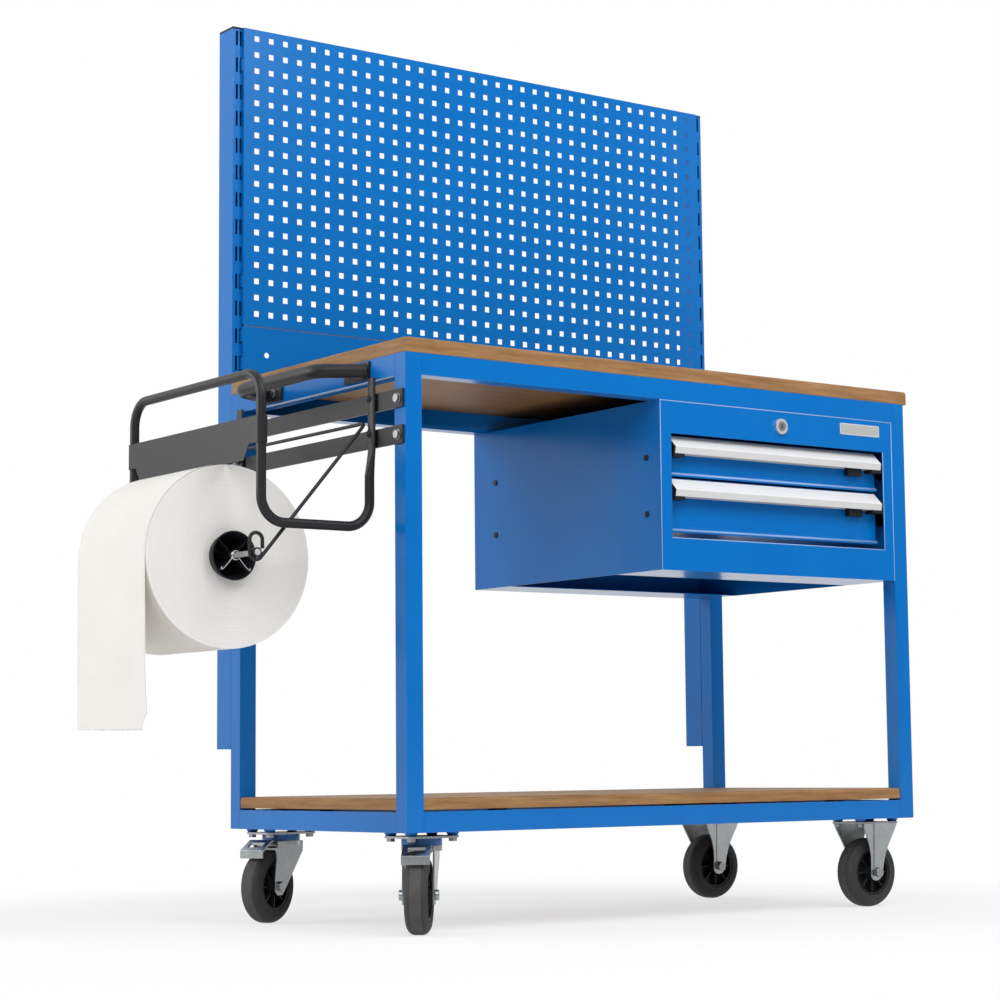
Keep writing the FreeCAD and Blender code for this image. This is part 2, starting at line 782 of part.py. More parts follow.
# One drawer: folded front, box, handle with end caps, latch, and its part of the runners
def drawer(name, top, height):
    left, right = f"({opening_left} + drawer_side_gap)", f"({opening_right} - drawer_side_gap)"
    foot = f"({top} - {height})"
    back_of_front = f"({drawer_face} + front_sheet)"
    profile = [(drawer_face, top), (back_of_front, top),
               (back_of_front, f"{foot} + lip_slope"),
               (f"{back_of_front} - front_lip", foot), (f"{drawer_face} - front_lip", foot),
               (f"{drawer_face} - front_lip", f"{foot} + lip_height"),
               (drawer_face, f"{foot} + lip_height + lip_slope")]
    node(f"{name}_drawer_front", [padded("YZ_Plane", profile, f"{right} - {left}", x=left)])

    box_foot = f"({foot} + drawer_floor_gap)"
    box_top = f"({top} - drawer_top_gap)"
    box_rear = f"({back_of_front} + drawer_depth)"
    box_left, box_right = f"({left} + box_inset)", f"({right} - box_inset)"
    outer = slab((box_left, box_right), (back_of_front, box_rear), (box_foot, box_top))
    inner = slab((f"{box_left} + drawer_sheet", f"{box_right} - drawer_sheet"),
                 (f"{back_of_front} + drawer_sheet", f"{box_rear} - drawer_sheet"),
                 (f"{box_foot} + drawer_sheet", box_top))
    node(f"{name}_drawer_box", [cut(outer, [inner])])

    # Aluminium grip: a sloping top face that ends in a ridge and a short lip
    grip_top = f"({top} - handle_drop)"
    ridge = f"({drawer_face} - handle_reach)"
    ridge_level = f"({grip_top} - handle_ridge_drop)"
    grip_foot = f"({grip_top} - handle_height)"
    grip = [(drawer_face, grip_top), (f"{drawer_face} - handle_top", grip_top),
            (ridge, ridge_level), (f"{ridge} + handle_lip_back", grip_foot),
            (f"{ridge} + handle_lip_back + handle_wall", grip_foot),
            (f"{ridge} + handle_wall + handle_wall / 4", f"{ridge_level} - handle_wall / 3"),
            (f"{drawer_face} - handle_wall", f"{grip_top} - handle_wall * 3 / 2"),
            (f"{drawer_face} - handle_wall", grip_foot), (drawer_face, grip_foot)]
    grip_left = f"({left} + handle_end_gap)"
    grip_right = f"({right} - handle_end_gap)"
    node(f"{name}_handle", [padded("YZ_Plane", grip, f"{grip_right} - {grip_left}", x=grip_left)])

    shadow = grip[:4] + [(drawer_face, grip_foot)]
    caps = []
    for start, low, high in ((f"{grip_left} - end_cap", f"{grip_left} - end_cap",
                              f"{grip_left} + cap_foot_length"),
                             (grip_right, f"{grip_right} - cap_foot_length",
                              f"{grip_right} + end_cap")):
        cheek = padded("YZ_Plane", shadow, "end_cap", x=start)
        foot_block = slab((low, high), (f"{ridge} + handle_lip_back", drawer_face),
                          (f"{grip_foot} - cap_foot_height", grip_foot))
        caps.append(fuse([cheek, foot_block]))
    node(f"{name}_handle_caps", caps)

    # Thumb latch that slides along the grip's back flange
    latch_right = f"({grip_right} - latch_from_end)"
    latch_rear = f"({drawer_face} - handle_wall - slide_gap)"
    slider = slab((f"{latch_right} - latch_width", latch_right),
                  (f"{latch_rear} - latch_depth", latch_rear),
                  (f"{grip_foot} - latch_drop", f"{grip_foot} + latch_body_height"))
    node(f"{name}_latch", [slider])

    # Hollow fixed runners stand on the casing's walls and end in a channel; a rail of folded sheet
    # on each side of the box slides in it, and is narrow enough to come out through the opening
    runner_mid = f"(({box_foot} + {box_top}) / 2)"
    groove_half = "(runner_height / 2 - runner_sheet)"
    rail_half = f"({groove_half} - slide_gap)"
    hollow_half = f"({rail_half} - runner_sheet)"
    rail_ends = (back_of_front, box_rear)
    ends = (back_of_front, f"{back_of_front} + runner_length")

    def about(half):
        return (f"{runner_mid} - {half}", f"{runner_mid} + {half}")

    rails = []
    channels = []
    for sign, wall, edge, box_side in (
            (1, f"({cabinet_left} + cabinet_sheet)", left, box_left),
            (-1, f"({cabinet_right} - cabinet_sheet)", right, box_right)):
        mouth = f"({box_side} - {sign} * drawer_side_gap)"
        groove_floor = f"({edge} - {sign} * slide_gap)"
        rail = slab(ordered(sign, edge, box_side), rail_ends, about(rail_half))
        fold = slab(ordered(sign, f"{edge} + {sign} * runner_sheet", box_side), rail_ends, about(hollow_half))
        rails.append(cut(rail, [fold]))
        block = slab(ordered(sign, wall, mouth), ends, about("runner_height / 2"))
        groove = slab(ordered(sign, groove_floor, mouth), ends, about(groove_half))
        hollow = slab(ordered(sign, f"{wall} + {sign} * runner_sheet",
                              f"{groove_floor} - {sign} * runner_sheet"), ends, about(groove_half))
        channels.append(cut(block, [groove, hollow]))
    node(f"{name}_drawer_rails", rails)
    return channels


def ordered(sign, low, high):
    return (low, high) if sign > 0 else (high, low)


def drawers():
    upper_top = f"({opening_top} - fit_gap)"
    lower_top = f"({upper_top} - drawer_pitch)"
    channels = drawer("upper", upper_top, "upper_front_height")
    channels += drawer("lower", lower_top, "lower_front_height")
    node("cabinet_runners", channels)


# Castors stand on the floor about their own centre, with the wheel trailing to the left
def castor_place(name):
    sign_x, sign_y, angle = castors[name]
    return {"x": f"{sign_x} * {castor_x}", "y": f"{sign_y} * {castor_y}", "turn": angle}


def castor_plate():
    corners = [("-plate_length / 2", "-plate_width / 2"), ("plate_length / 2", "-plate_width / 2"),
               ("plate_length / 2", "plate_width / 2"), ("-plate_length / 2", "plate_width / 2")]
    plate = padded("XY_Plane", corners, "plate_thickness", z="castor_height - plate_thickness")
    rounded(plate, "plate_corner", lambda edge: abs(edge.tangentAt(edge.FirstParameter).z) > 0.9)
    holes = []
    for step_x in (-1, 1):
        for step_y in (-1, 1):
            holes.append(rod("z", clear_hole, "plate_thickness", f"{step_x} * bolt_length_pitch / 2",
                             f"{step_y} * bolt_width_pitch / 2", "castor_height - plate_thickness"))
    return cut(plate, holes)


plate_under = "(castor_height - plate_thickness)"
leg_inner = "(hub_length / 2 + fork_gap)"
leg_outer = f"({leg_inner} + fork_sheet)"


def wheel(name, trail):
    half = "tyre_width / 2"
    outer, bead = "wheel_diameter / 2", "rim_diameter / 2"
    upright = Rotation(Vector(1, 0, 0), -90)
    tyre = turned([(bead, f"-{half}"), (outer, f"-{half}"), (outer, half), (bead, half)],
                  x=f"-({trail})", z=axle_level, rotation=upright)
    limit = number(outer) - 0.01
    rounded(tyre, "tyre_round", lambda edge: edge.Curve.Radius > limit
            if hasattr(edge.Curve, "Radius") else False)
    node(f"tyre_{name}", [tyre], **castor_place(name))

    inside = "(rim_diameter / 2 - rim_wall)"
    bore = "(axle_radius + running_gap)"
    profile = [(bore, "-hub_length / 2"), ("hub_radius", "-hub_length / 2"),
               ("hub_radius", "-web_thickness / 2"), (inside, "-web_thickness / 2"),
               (inside, "-rim_width / 2"), (bead, "-rim_width / 2"), (bead, "rim_width / 2"),
               (inside, "rim_width / 2"), (inside, "web_thickness / 2"),
               ("hub_radius", "web_thickness / 2"), ("hub_radius", "hub_length / 2"),
               (bore, "hub_length / 2")]
    body = turned(profile)
    ribs = []
    for step in range(rib_count):
        rib = slab(("hub_radius - rim_wall / 2", f"{inside} + rim_wall / 2"),
                   ("-rib_thickness / 2", "rib_thickness / 2"),
                   ("-rim_width / 2 + rim_wall / 2", "rim_width / 2 - rim_wall / 2"))
        arm = compound([rib])
        arm.Placement = Placement(Vector(), Rotation(Vector(0, 0, 1), 360 * step / rib_count))
        ribs.append(arm)
    rim = place(fuse([body] + ribs), f"-({trail})", "0", axle_level, upright)
    node(f"rim_{name}", [rim], **castor_place(name))


def axle(trail, seat):
    pin = rod("y", "axle_radius", f"2 * {seat}", f"-({trail})", f"-{seat}", axle_level)
    heads = [rod("y", "axle_head_radius", "axle_head", f"-({trail})", start, axle_level)
             for start in (f"-{seat} - axle_head", seat)]
    return fuse([pin] + heads)


# Fixed castor bracket: a plate with two legs that lean in towards the axle and clear the whole hub
leg_top = "(plate_width / 2 - fork_sheet - fork_rib_rise)"
# Height shares from the axle up, each with its share of the flare towards the plate
leg_flank = ((1.0, 1.0), (0.84, 0.8), (0.68, 0.54), (0.52, 0.3), (0.36, 0.13), (0.2, 0.04), (0.0, 0.0))
fork_drop = f"({plate_under} - {axle_level})"
leg_foot = f"(({leg_inner} * {fork_drop} + hub_radius * {leg_top}) / ({fork_drop} + hub_radius))"
leg_back = f"({leg_foot} + fork_sheet)"
lean_slope = f"(({leg_top} - {leg_foot}) / {fork_drop})"


def fixed_fork():
    lean = math.degrees(math.atan(number(lean_slope)))
    reach = f"({fork_drop} + plate_thickness / 2) * sqrt(1 + {lean_slope} * {lean_slope})"
    flank = []
    for level, spread in leg_flank:
        flank.append((f"(fork_boss + (fork_top_width / 2 - fork_boss) * {spread})", f"{reach} * {level}"))
    end = []
    for step in range(1, 6):
        turn = math.pi * step / 6
        end.append((f"fork_boss * {math.cos(turn):.5f}", f"-fork_boss * {math.sin(turn):.5f}"))
    profile = flank + end + [(f"-{u}", v) for u, v in reversed(flank)]
    rib = [("fork_rib_width / 2", reach), ("fork_boss / 2", "0"), ("-fork_boss / 2", "0"),
           ("-fork_rib_width / 2", reach)]
    tilt = Rotation(Vector(1, 0, 0), lean)
    back = Rotation(Vector(1, 0, 0), -lean)
    pieces = [castor_plate()]
    pieces.append(padded("XZ_Plane", profile, "fork_sheet", y=f"-{leg_foot}", z=axle_level, rotation=tilt))
    pieces.append(padded("XZ_Plane", rib, "fork_sheet + fork_rib_rise", y=f"-{leg_foot}", z=axle_level,
                         rotation=tilt))
    pieces.append(padded("XZ_Plane", profile, "fork_sheet", y=leg_back, z=axle_level, rotation=back))
    pieces.append(padded("XZ_Plane", rib, "fork_sheet + fork_rib_rise", y=f"{leg_back} + fork_rib_rise",
                         z=axle_level, rotation=back))
    hole = rod("y", "axle_radius + running_gap", "plate_width", "0", "-plate_width / 2", axle_level)
    return cut(fuse(pieces), [hole])


# Swivel castor: plate with ball race and king pin above, fork with its crown below
race_under = f"({plate_under} - race_height)"
crown_top = f"({race_under} - slide_gap)"
crown_foot = f"({crown_top} - crown_height)"
pedal_x = "(castor_trail - pedal_pin_step)"
pedal_z = f"({crown_foot} + pedal_pin_rise)"


def swivel_plate():
    race = rod("z", "race_radius", "race_height", "0", "0", race_under)
    head_foot = f"({crown_foot} - slide_gap - kingpin_head)"
    pin = rod("z", "kingpin_radius", f"{race_under} - {head_foot}", "0", "0", head_foot)
    head = rod("z", "kingpin_head_radius", "kingpin_head", "0", "0", head_foot)
    return fuse([castor_plate(), race, pin, head])


def swivel_fork():
    profile = [("-crown_back", crown_top), ("-castor_trail - fork_boss", f"{axle_level} + fork_boss"),
               ("-castor_trail - fork_boss", f"{axle_level} - fork_boss / 2"),
               ("-castor_trail - fork_boss / 2", f"{axle_level} - fork_boss"),
               ("-castor_trail + fork_boss / 2", f"{axle_level} - fork_boss"),
               ("-castor_trail + fork_boss", f"{axle_level} - fork_boss / 2"),
               ("crown_front", f"{crown_foot} - crown_height"), ("crown_front", crown_top)]
    legs = [padded("XZ_Plane", profile, "fork_sheet", y=y) for y in (f"-{leg_inner}", leg_outer)]
    crown = slab(("-crown_inner", "crown_front"), (f"-{leg_outer}", leg_outer),
                 (crown_foot, crown_top))
    disc = rod("z", "race_radius", "crown_height", "0", "0", crown_foot)
    pin = rod("y", "pedal_pin_radius", f"2 * {leg_outer}", f"-{pedal_x}", f"-{leg_outer}", pedal_z)
    pin_hole = rod("z", "kingpin_radius + running_gap", "crown_height", "0", "0", crown_foot)
    axle_hole = rod("y", "axle_radius + running_gap", f"2 * {leg_outer}", "-castor_trail",
                    f"-{leg_outer}", axle_level)
    return cut(fuse(legs + [crown, disc, pin]), [pin_hole, axle_hole])


def brake_pedal():
    arm_depth = "pedal_sheet * 6 / 5"
    foot_depth = "pedal_sheet * 7 / 5"
    arm = padded("XZ_Plane", [("0", "pedal_eye_radius"), ("-pedal_arm", "pedal_rise"),
                              ("-pedal_arm", f"pedal_rise - {arm_depth}"),
                              ("0", f"pedal_eye_radius - {arm_depth}")],
                 "pedal_arm_width", middle=True)
    foot = padded("XZ_Plane", [("-pedal_arm", "pedal_rise"),
                               ("-pedal_foot_reach", "-pedal_foot_drop"),
                               ("-pedal_foot_reach", "-pedal_foot_drop - pedal_lip"),
                               ("-pedal_foot_reach + pedal_sheet", "-pedal_foot_drop - pedal_lip"),
                               ("-pedal_foot_reach + pedal_sheet", f"-pedal_foot_drop - {foot_depth}"),
                               ("-pedal_arm", f"pedal_rise - {foot_depth}")],
                  "pedal_width", middle=True)
    eye = rod("y", "pedal_eye_radius", "pedal_arm_width", "0", "-pedal_arm_width / 2", "0")
    bore = rod("y", "pedal_pin_radius + running_gap", "pedal_arm_width", "0",
               "-pedal_arm_width / 2", "0")
    slot = slab(("-pedal_foot_reach + pedal_slot_edge", "-pedal_arm - pedal_slot_edge"),
                ("-pedal_slot / 2", "pedal_slot / 2"),
                ("-pedal_foot_drop - pedal_width", "pedal_rise"))
    return place(cut(fuse([arm, foot, eye]), [bore, slot]), f"-{pedal_x}", "0", pedal_z)


def running_gear():
    fixed = []
    fixed_pins = []
    plates = []
    seat = f"({leg_back} + fork_rib_rise + axle_head_radius * {lean_slope} + slide_gap)"
    for name, (sign_x, sign_y, angle) in castors.items():
        centre = (f"{sign_x} * {castor_x}", f"{sign_y} * {castor_y}", "0")
        if angle == "0":
            fixed.append(place(compound([fixed_fork()]), *centre))
            fixed_pins.append(place(compound([axle("0", seat)]), *centre))
            wheel(name, "0")
        else:
            plates.append(place(compound([swivel_plate()]), *centre))
            node(f"fork_{name}", [swivel_fork()], **castor_place(name))
            node(f"axle_{name}", [axle("castor_trail", leg_outer)], **castor_place(name))
            node(f"brake_pedal_{name}", [brake_pedal()], **castor_place(name))
            wheel(name, "castor_trail")
    node("fixed_forks", fixed)
    node("fixed_axles", fixed_pins)
    node("swivel_plates", plates)
    spacers = []
    bolts_made = []
    for x, y in castor_bolt_places():
        cone = taper("z", "spacer_foot_radius", "spacer_top_radius", "spacer_height", x, y,
                     "castor_height")
        spacers.append(cut(cone, [rod("z", clear_hole, "spacer_height", x, y, "castor_height")]))
        bolts_made.append(bolt("z", 1, x, y, plate_under,
                               "plate_thickness + spacer_height + bolt_grip"))
    node("castor_spacers", spacers)
    node("castor_bolts", bolts_made)


# Paper roll holder: bars across the left legs carry a bent tube that reaches outwards
bar_face = f"({half_width} + bar_thickness)"
hoop_front = "(holder_offset - hoop_width / 2)"
hoop_rear = "(holder_offset + hoop_width / 2)"
hoop_inner = f"({bar_face} + hoop_radius + slide_gap)"
hoop_outer = f"({half_width} + hoop_reach)"
roll_x = f"({half_width} + roll_reach)"
roll_front = "(holder_offset - roll_width / 2)"
roll_rear = "(holder_offset + roll_width / 2)"
wire_front = f"({hoop_front} + hoop_radius + wire_radius + slide_gap)"
wire_rear = f"({hoop_rear} - hoop_radius - wire_radius - slide_gap)"


def point(x, y, z):
    return Vector(-number(x), number(y), number(z))


def roll_holder():
    bars = []
    for level in bar_centres:
        bar = slab((f"-{bar_face}", f"-{half_width}"),
                   (f"-{half_depth} + bar_end_inset", f"{half_depth} - bar_end_inset"),
                   (f"{level} - bar_height / 2", f"{level} + bar_height / 2"))
        holes = [rod("x", clear_hole, "bar_thickness", f"-{bar_face}", f"{sign} * {leg_mid_y}",
                     level) for sign in (-1, 1)]
        bars.append(cut(bar, holes))
    node("holder_bars", bars)

    # The tube's ends are pressed flat where they lie on the bars
    corners = [point(hoop_inner, hoop_front, "flat_start - flat_neck"),
               point(hoop_inner, hoop_front, "hoop_bottom"),
               point(hoop_outer, hoop_front, "hoop_bottom"),
               point(hoop_outer, hoop_front, "hoop_top"), point(hoop_outer, hoop_rear, "hoop_top"),
               point(hoop_outer, hoop_rear, "hoop_bottom"),
               point(hoop_inner, hoop_rear, "hoop_bottom"),
               point(hoop_inner, hoop_rear, "flat_start - flat_neck")]
    path = bent_path(corners, [number("hoop_bend")] * 6)
    hoop = round_bar(path, number("hoop_radius")).cut(
        round_bar(path, number("hoop_radius - hoop_wall")))
    for y in (hoop_front, hoop_rear):
        ring = Part.Wire([Part.makeCircle(number("hoop_radius"),
                                          point(hoop_inner, y, "flat_start - flat_neck"))])
        pressed = Part.Ellipse(point(f"{bar_face} + flat_thickness / 2 + slide_gap", y,
                                     "flat_start"),
                               number("flat_width / 2"), number("flat_thickness / 2"))
        oval = pressed.toShape()
        oval.rotate(point(f"{bar_face} + flat_thickness / 2 + slide_gap", y, "flat_start"),
                    Vector(0, 0, 1), 90)
        oval_wire = Part.Wire([oval])
        neck = Part.makeLoft([ring, oval_wire], True)
        tip = Part.Face(oval_wire).extrude(Vector(0, 0, number("hoop_tip - flat_start")))
        hoop = hoop.fuse([neck, tip])
    node("holder_hoop", [shaped(hoop)])

    sleeve = "(hoop_radius + sleeve_gap + tear_sheet)"
    foot = "(roll_height + roll_diameter / 2 + sleeve_gap)"
    step = f"({foot} + tear_lip)"
    head = f"({step} + sleeve_height)"
    profile = [(hoop_front, step), (f"{hoop_front} + tear_step", step),
               (f"{hoop_front} + tear_step + tear_slant", foot),
               (f"{hoop_rear} - tear_step - tear_slant", foot), (f"{hoop_rear} - tear_step", step),
               (hoop_rear, step), (hoop_rear, head), (hoop_front, head)]
    blade = padded("YZ_Plane", profile, "tear_sheet", x=f"-{hoop_outer} - {sleeve}")
    rings = []
    for y in (hoop_front, hoop_rear):
        tube = rod("z", sleeve, "sleeve_height", f"-{hoop_outer}", y, step)
        rings.append(cut(tube, [rod("z", "hoop_radius + sleeve_gap", "sleeve_height",
                                    f"-{hoop_outer}", y, step)]))
    node("tear_plate", [fuse([blade] + rings)])

    # Bent wire that carries the axle: an eye at each end and a cross rod between the arms
    turn_radius = number("axle_collar_radius + loop_gap + wire_radius")
    start = point(hoop_inner, wire_front, "wire_height")
    middle = point(roll_x, wire_front, "roll_height")
    away = middle - start
    slant = math.atan2(away.z, away.x) + math.asin(turn_radius / away.Length)
    run = (turn_radius + start.x - middle.x) / -math.cos(slant)
    low = start + Vector(math.cos(slant), 0, math.sin(slant)) * run
    eye_top = number("roll_height + loop_height") + turn_radius
    end_level = number("roll_height + loop_height / 3")
    eye = [Vector(middle.x + turn_radius, middle.y, end_level),
           Vector(middle.x + turn_radius, middle.y, eye_top),
           Vector(middle.x - turn_radius, middle.y, eye_top), low]
    rear_y = number(wire_rear)
    mirrored = [Vector(place_in.x, rear_y, place_in.z) for place_in in reversed(eye)]
    corners = eye + [start, Vector(start.x, rear_y, start.z)] + mirrored
    bend = number("wire_bend")
    bends = [turn_radius] * 3 + [bend, bend] + [turn_radius] * 3
    wire = round_bar(bent_path(corners, bends), number("wire_radius"))
    node("wire_bracket", [shaped(wire)])
    axle_front = f"({wire_front} - roll_axle_past_loop)"
    axle_rear = f"({wire_rear} + roll_axle_past_loop)"
    # A collar on the axle fills each eye
    shaft = rod("y", "roll_axle_radius", f"{axle_rear} - {axle_front}", f"-{roll_x}", axle_front,
                "roll_height")
    collars = [rod("y", "axle_collar_radius", "axle_collar", f"-{roll_x}", f"{y} - axle_collar / 2",
                   "roll_height") for y in (wire_front, wire_rear)]
    node("roll_axle", [fuse([shaft] + collars)])


# The roll and the two cones that centre it on the axle
def paper():
    solid = rod("y", "roll_diameter / 2", "roll_width", f"-{roll_x}", roll_front, "roll_height")
    bore = rod("y", "roll_bore / 2", "roll_width", f"-{roll_x}", roll_front, "roll_height")
    node("paper_roll", [cut(solid, [bore])])

    seat = "(roll_bore / 2 - slide_gap)"
    slope = f"((cone_rim_radius - {seat}) / cone_proud)"
    tip = f"({seat} - {slope} * cone_depth)"
    hole = "(roll_axle_radius + running_gap)"
    profile = [(hole, "-cone_depth"), (tip, "-cone_depth"), ("cone_rim_radius", "cone_proud"),
               ("cone_rim_radius - cone_wall", "cone_proud"),
               (f"{tip} - cone_wall", "-cone_depth + cone_wall"),
               ("cone_hub_radius", "-cone_depth + cone_wall"),
               ("cone_hub_radius", "cone_proud - cone_wall"), (hole, "cone_proud - cone_wall")]
    cones = []
    for y, angle in ((roll_front, 90), (roll_rear, -90)):
        cones.append(turned(profile, x=f"-{roll_x}", y=y, z="roll_height",
                            rotation=Rotation(Vector(1, 0, 0), angle)))
    node("roll_cones", cones)

    # The free end hangs straight down from the roll's outer side, with one torn corner
    profile = [(roll_front, "tail_foot + tail_torn"), (f"{roll_front} + tail_torn", "tail_foot"),
               (roll_rear, "tail_foot"), (roll_rear, "roll_height"), (roll_front, "roll_height")]
    node("paper_tail", [padded("YZ_Plane", profile, "tail_thickness", x=f"-{roll_outline}")])


# Push handle: a bent tube on two feet, bolted to the left top rail
def push_handle():
    level = number(handle_level)
    face = number(half_width)
    reach = face + number("grip_reach")
    ends = number("grip_foot_span")
    span = number("grip_bend_span")
    corners = [Vector(-face, -ends, level), Vector(-reach, -span, level),
               Vector(-reach, span, level), Vector(-face, ends, level)]
    bar = round_bar(bent_path(corners, [number("grip_bend")] * 2), number("grip_radius"))
    grip = shaped(bar)
    feet = []
    for sign in (-1, 1):
        foot = slab((f"-{half_width} - foot_thickness", f"-{half_width}"),
                    side(sign, "foot_start", "foot_end"),
                    (f"{handle_level} - foot_height / 2", f"{handle_level} + foot_height / 2"))
        feet.append(foot)
    tools = [rod("x", clear_hole, "foot_thickness", f"-{half_width} - foot_thickness",
                 f"{sign} * foot_bolt", handle_level) for sign in (-1, 1)]
    tools.append(slab((f"-{half_width}", "0"), ("-foot_end", "foot_end"),
                      (f"{handle_level} - foot_height", f"{handle_level} + foot_height")))
    node("push_handle", [cut(fuse([grip] + feet), tools)])


frame()
boards()
uprights()
panels()
bolts()
cabinet()
drawers()
running_gear()
roll_holder()
paper()
push_handle()
doc.recompute()

for item in doc.Objects:
    if "Invalid" in item.State or "Error" in item.State:
        raise RuntimeError(f"{item.Name} ({item.TypeId}) did not build: {item.State}")
os.makedirs("parts", exist_ok=True)
for item in nodes:
    if item.Shape.isNull() or not item.Shape.isValid() or not item.Shape.Solids:
        raise RuntimeError(f"{item.Label} has no valid solid")
    item.Shape.exportStep(f"parts/{item.Label}.step")
    print(item.Label, len(item.Shape.Solids), round(item.Shape.Volume))
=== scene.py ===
import json
import math

import bmesh
import bpy
from mathutils import Matrix, Vector, noise
from mathutils.bvhtree import BVHTree


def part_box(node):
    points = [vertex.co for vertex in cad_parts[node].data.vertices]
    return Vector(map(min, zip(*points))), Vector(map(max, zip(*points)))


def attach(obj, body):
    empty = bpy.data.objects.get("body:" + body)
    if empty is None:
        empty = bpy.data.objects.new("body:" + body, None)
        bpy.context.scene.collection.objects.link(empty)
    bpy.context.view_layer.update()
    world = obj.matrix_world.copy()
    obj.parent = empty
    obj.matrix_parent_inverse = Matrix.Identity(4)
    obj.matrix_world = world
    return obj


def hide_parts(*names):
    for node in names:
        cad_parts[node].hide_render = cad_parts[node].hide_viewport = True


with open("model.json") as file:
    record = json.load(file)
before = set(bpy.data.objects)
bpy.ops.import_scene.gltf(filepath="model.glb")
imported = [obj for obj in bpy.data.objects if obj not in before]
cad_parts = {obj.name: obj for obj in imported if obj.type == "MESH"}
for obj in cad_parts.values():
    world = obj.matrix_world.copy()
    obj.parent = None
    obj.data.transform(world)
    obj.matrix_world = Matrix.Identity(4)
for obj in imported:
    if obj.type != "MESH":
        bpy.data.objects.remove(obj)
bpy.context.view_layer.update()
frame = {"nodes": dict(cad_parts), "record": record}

scene = bpy.context.scene
nodes = frame["nodes"]
slots = {row["node"]: row["material_slot"] for row in frame["record"]["subparts"]}
wheels = ("front_left", "rear_left", "front_right", "rear_right")
mm = 0.001


class Signal:                              # a socket that takes part in Python sums
    def __init__(self, tree, socket):
        self.tree = tree
        self.socket = socket

    def maths(self, operation, left, right=0.0):
        return addNode(self.tree, "ShaderNodeMath", {"operation": operation}, {0: left, 1: right})

    def __add__(self, other):
        return self.maths("ADD", self, other)

    def __radd__(self, other):
        return self.maths("ADD", other, self)

    def __sub__(self, other):
        return self.maths("SUBTRACT", self, other)

    def __rsub__(self, other):
        return self.maths("SUBTRACT", other, self)

    def __mul__(self, other):
        return self.maths("MULTIPLY", self, other)

    def __rmul__(self, other):
        return self.maths("MULTIPLY", other, self)

    def above(self, limit):
        return self.maths("GREATER_THAN", self, limit)

    def below(self, limit):
        return self.maths("LESS_THAN", self, limit)

    def between(self, low, high):
        return self.above(low) * self.below(high)

    def most(self, other):
        return self.maths("MAXIMUM", self, other)

    def magnitude(self):
        return self.maths("ABSOLUTE", self)

    def root(self):
        return self.maths("POWER", self, 0.5)

    def blend(self, other, share):
        return self * share + other * (1 - share)


def addNode(tree, kind, settings=None, inputs=None, output=0):
    made = tree.nodes.new(kind)
    for name, value in (settings or {}).items():
        if name == "stops":                # a colour ramp's places and colours
            ramp = made.color_ramp
            while len(ramp.elements) < len(value):
                ramp.elements.new(1.0)
            for element, (place, colour) in zip(ramp.elements, value):
                element.position = place
                element.color = (*colour, 1.0)
        else:
            setattr(made, name, value)
    for name, value in (inputs or {}).items():
        if isinstance(value, Signal):
            tree.links.new(value.socket, made.inputs[name])
        else:
            made.inputs[name].default_value = value
    return Signal(tree, made.outputs[output]) if made.outputs else None


class Finish:                              # one material, with short ways to its usual nodes
    def __init__(self, name):
        self.material = bpy.data.materials.new(name)
        self.material.use_nodes = True
        self.tree = self.material.node_tree
        self.tree.nodes.clear()

    def add(self, kind, settings=None, inputs=None, output=0):
        return addNode(self.tree, kind, settings, inputs, output)

    def spot(self):                        # place on the object, in metres in the part's frame
        return self.add("ShaderNodeTexCoord", output="Object")

    def place(self, scale=(1, 1, 1)):
        return self.add("ShaderNodeMapping", None, {"Vector": self.spot(), "Scale": scale})

    def noise(self, scale, detail=3.0, stretch=(1, 1, 1), rough=0.5):
        return self.add("ShaderNodeTexNoise", None,
                        {"Vector": self.place(stretch), "Scale": scale, "Detail": detail,
                         "Roughness": rough})

    def part(self, vector, axis):
        return self.add("ShaderNodeSeparateXYZ", None, {"Vector": vector}, axis)

    def along(self, axis):
        return self.part(self.spot(), axis)

    def facing(self, axis):                # how far the surface turns towards an axis
        return self.part(self.add("ShaderNodeNewGeometry", output="Normal"), axis)

    def reach(self, middle):               # distance from a level axis that runs front to back
        x = self.along("X") - middle.x
        z = self.along("Z") - middle.z
        return (x * x + z * z).root()

    def level(self, numbers, *signals):    # a base, and the share of each signal that is added
        total = numbers[0]
        for share, signal in zip(numbers[1:], signals):
            total = total + signal * share
        return total

    def vectorMaths(self, operation, inputs, output="Vector"):
        return self.add("ShaderNodeVectorMath", {"operation": operation},
                        dict(enumerate(inputs)), output)

    def mixColour(self, factor, first, second):
        def full(colour):
            return colour if isinstance(colour, Signal) else (*colour, 1.0)
        return self.add("ShaderNodeMix", {"data_type": "RGBA"},
                        {0: factor, 6: full(first), 7: full(second)}, output=2)

    def ramp(self, factor, stops):
        return self.add("ShaderNodeValToRGB", {"stops": stops}, {"Fac": factor})

    def bump(self, height, strength, distance):
        return self.add("ShaderNodeBump", None,
                        {"Height": height, "Strength": strength, "Distance": distance})

    def surface(self, inputs):
        shader = self.add("ShaderNodeBsdfPrincipled", None, inputs)
        self.add("ShaderNodeOutputMaterial", None, {"Surface": shader})
        return self.material


# Finishes

# the paler blue and its two shares for folds and lips are a painted highlight on those beads
bluePaint = {"deep": (0.0, 0.133, 0.452), "light": (0.0, 0.155, 0.51), "paintedHighlight": (0.36, 0.5, 0.78),
             "foldHighlight": 0.75, "lipHighlight": 0.4, "cloud": (7, 2), "peel": (520, 1.5),
             "speck": (1500, 1), "gloss": (0.16, 0.05, 0.04), "specular": 0.3,
             "bump": (0.1, 0.3 * mm)}


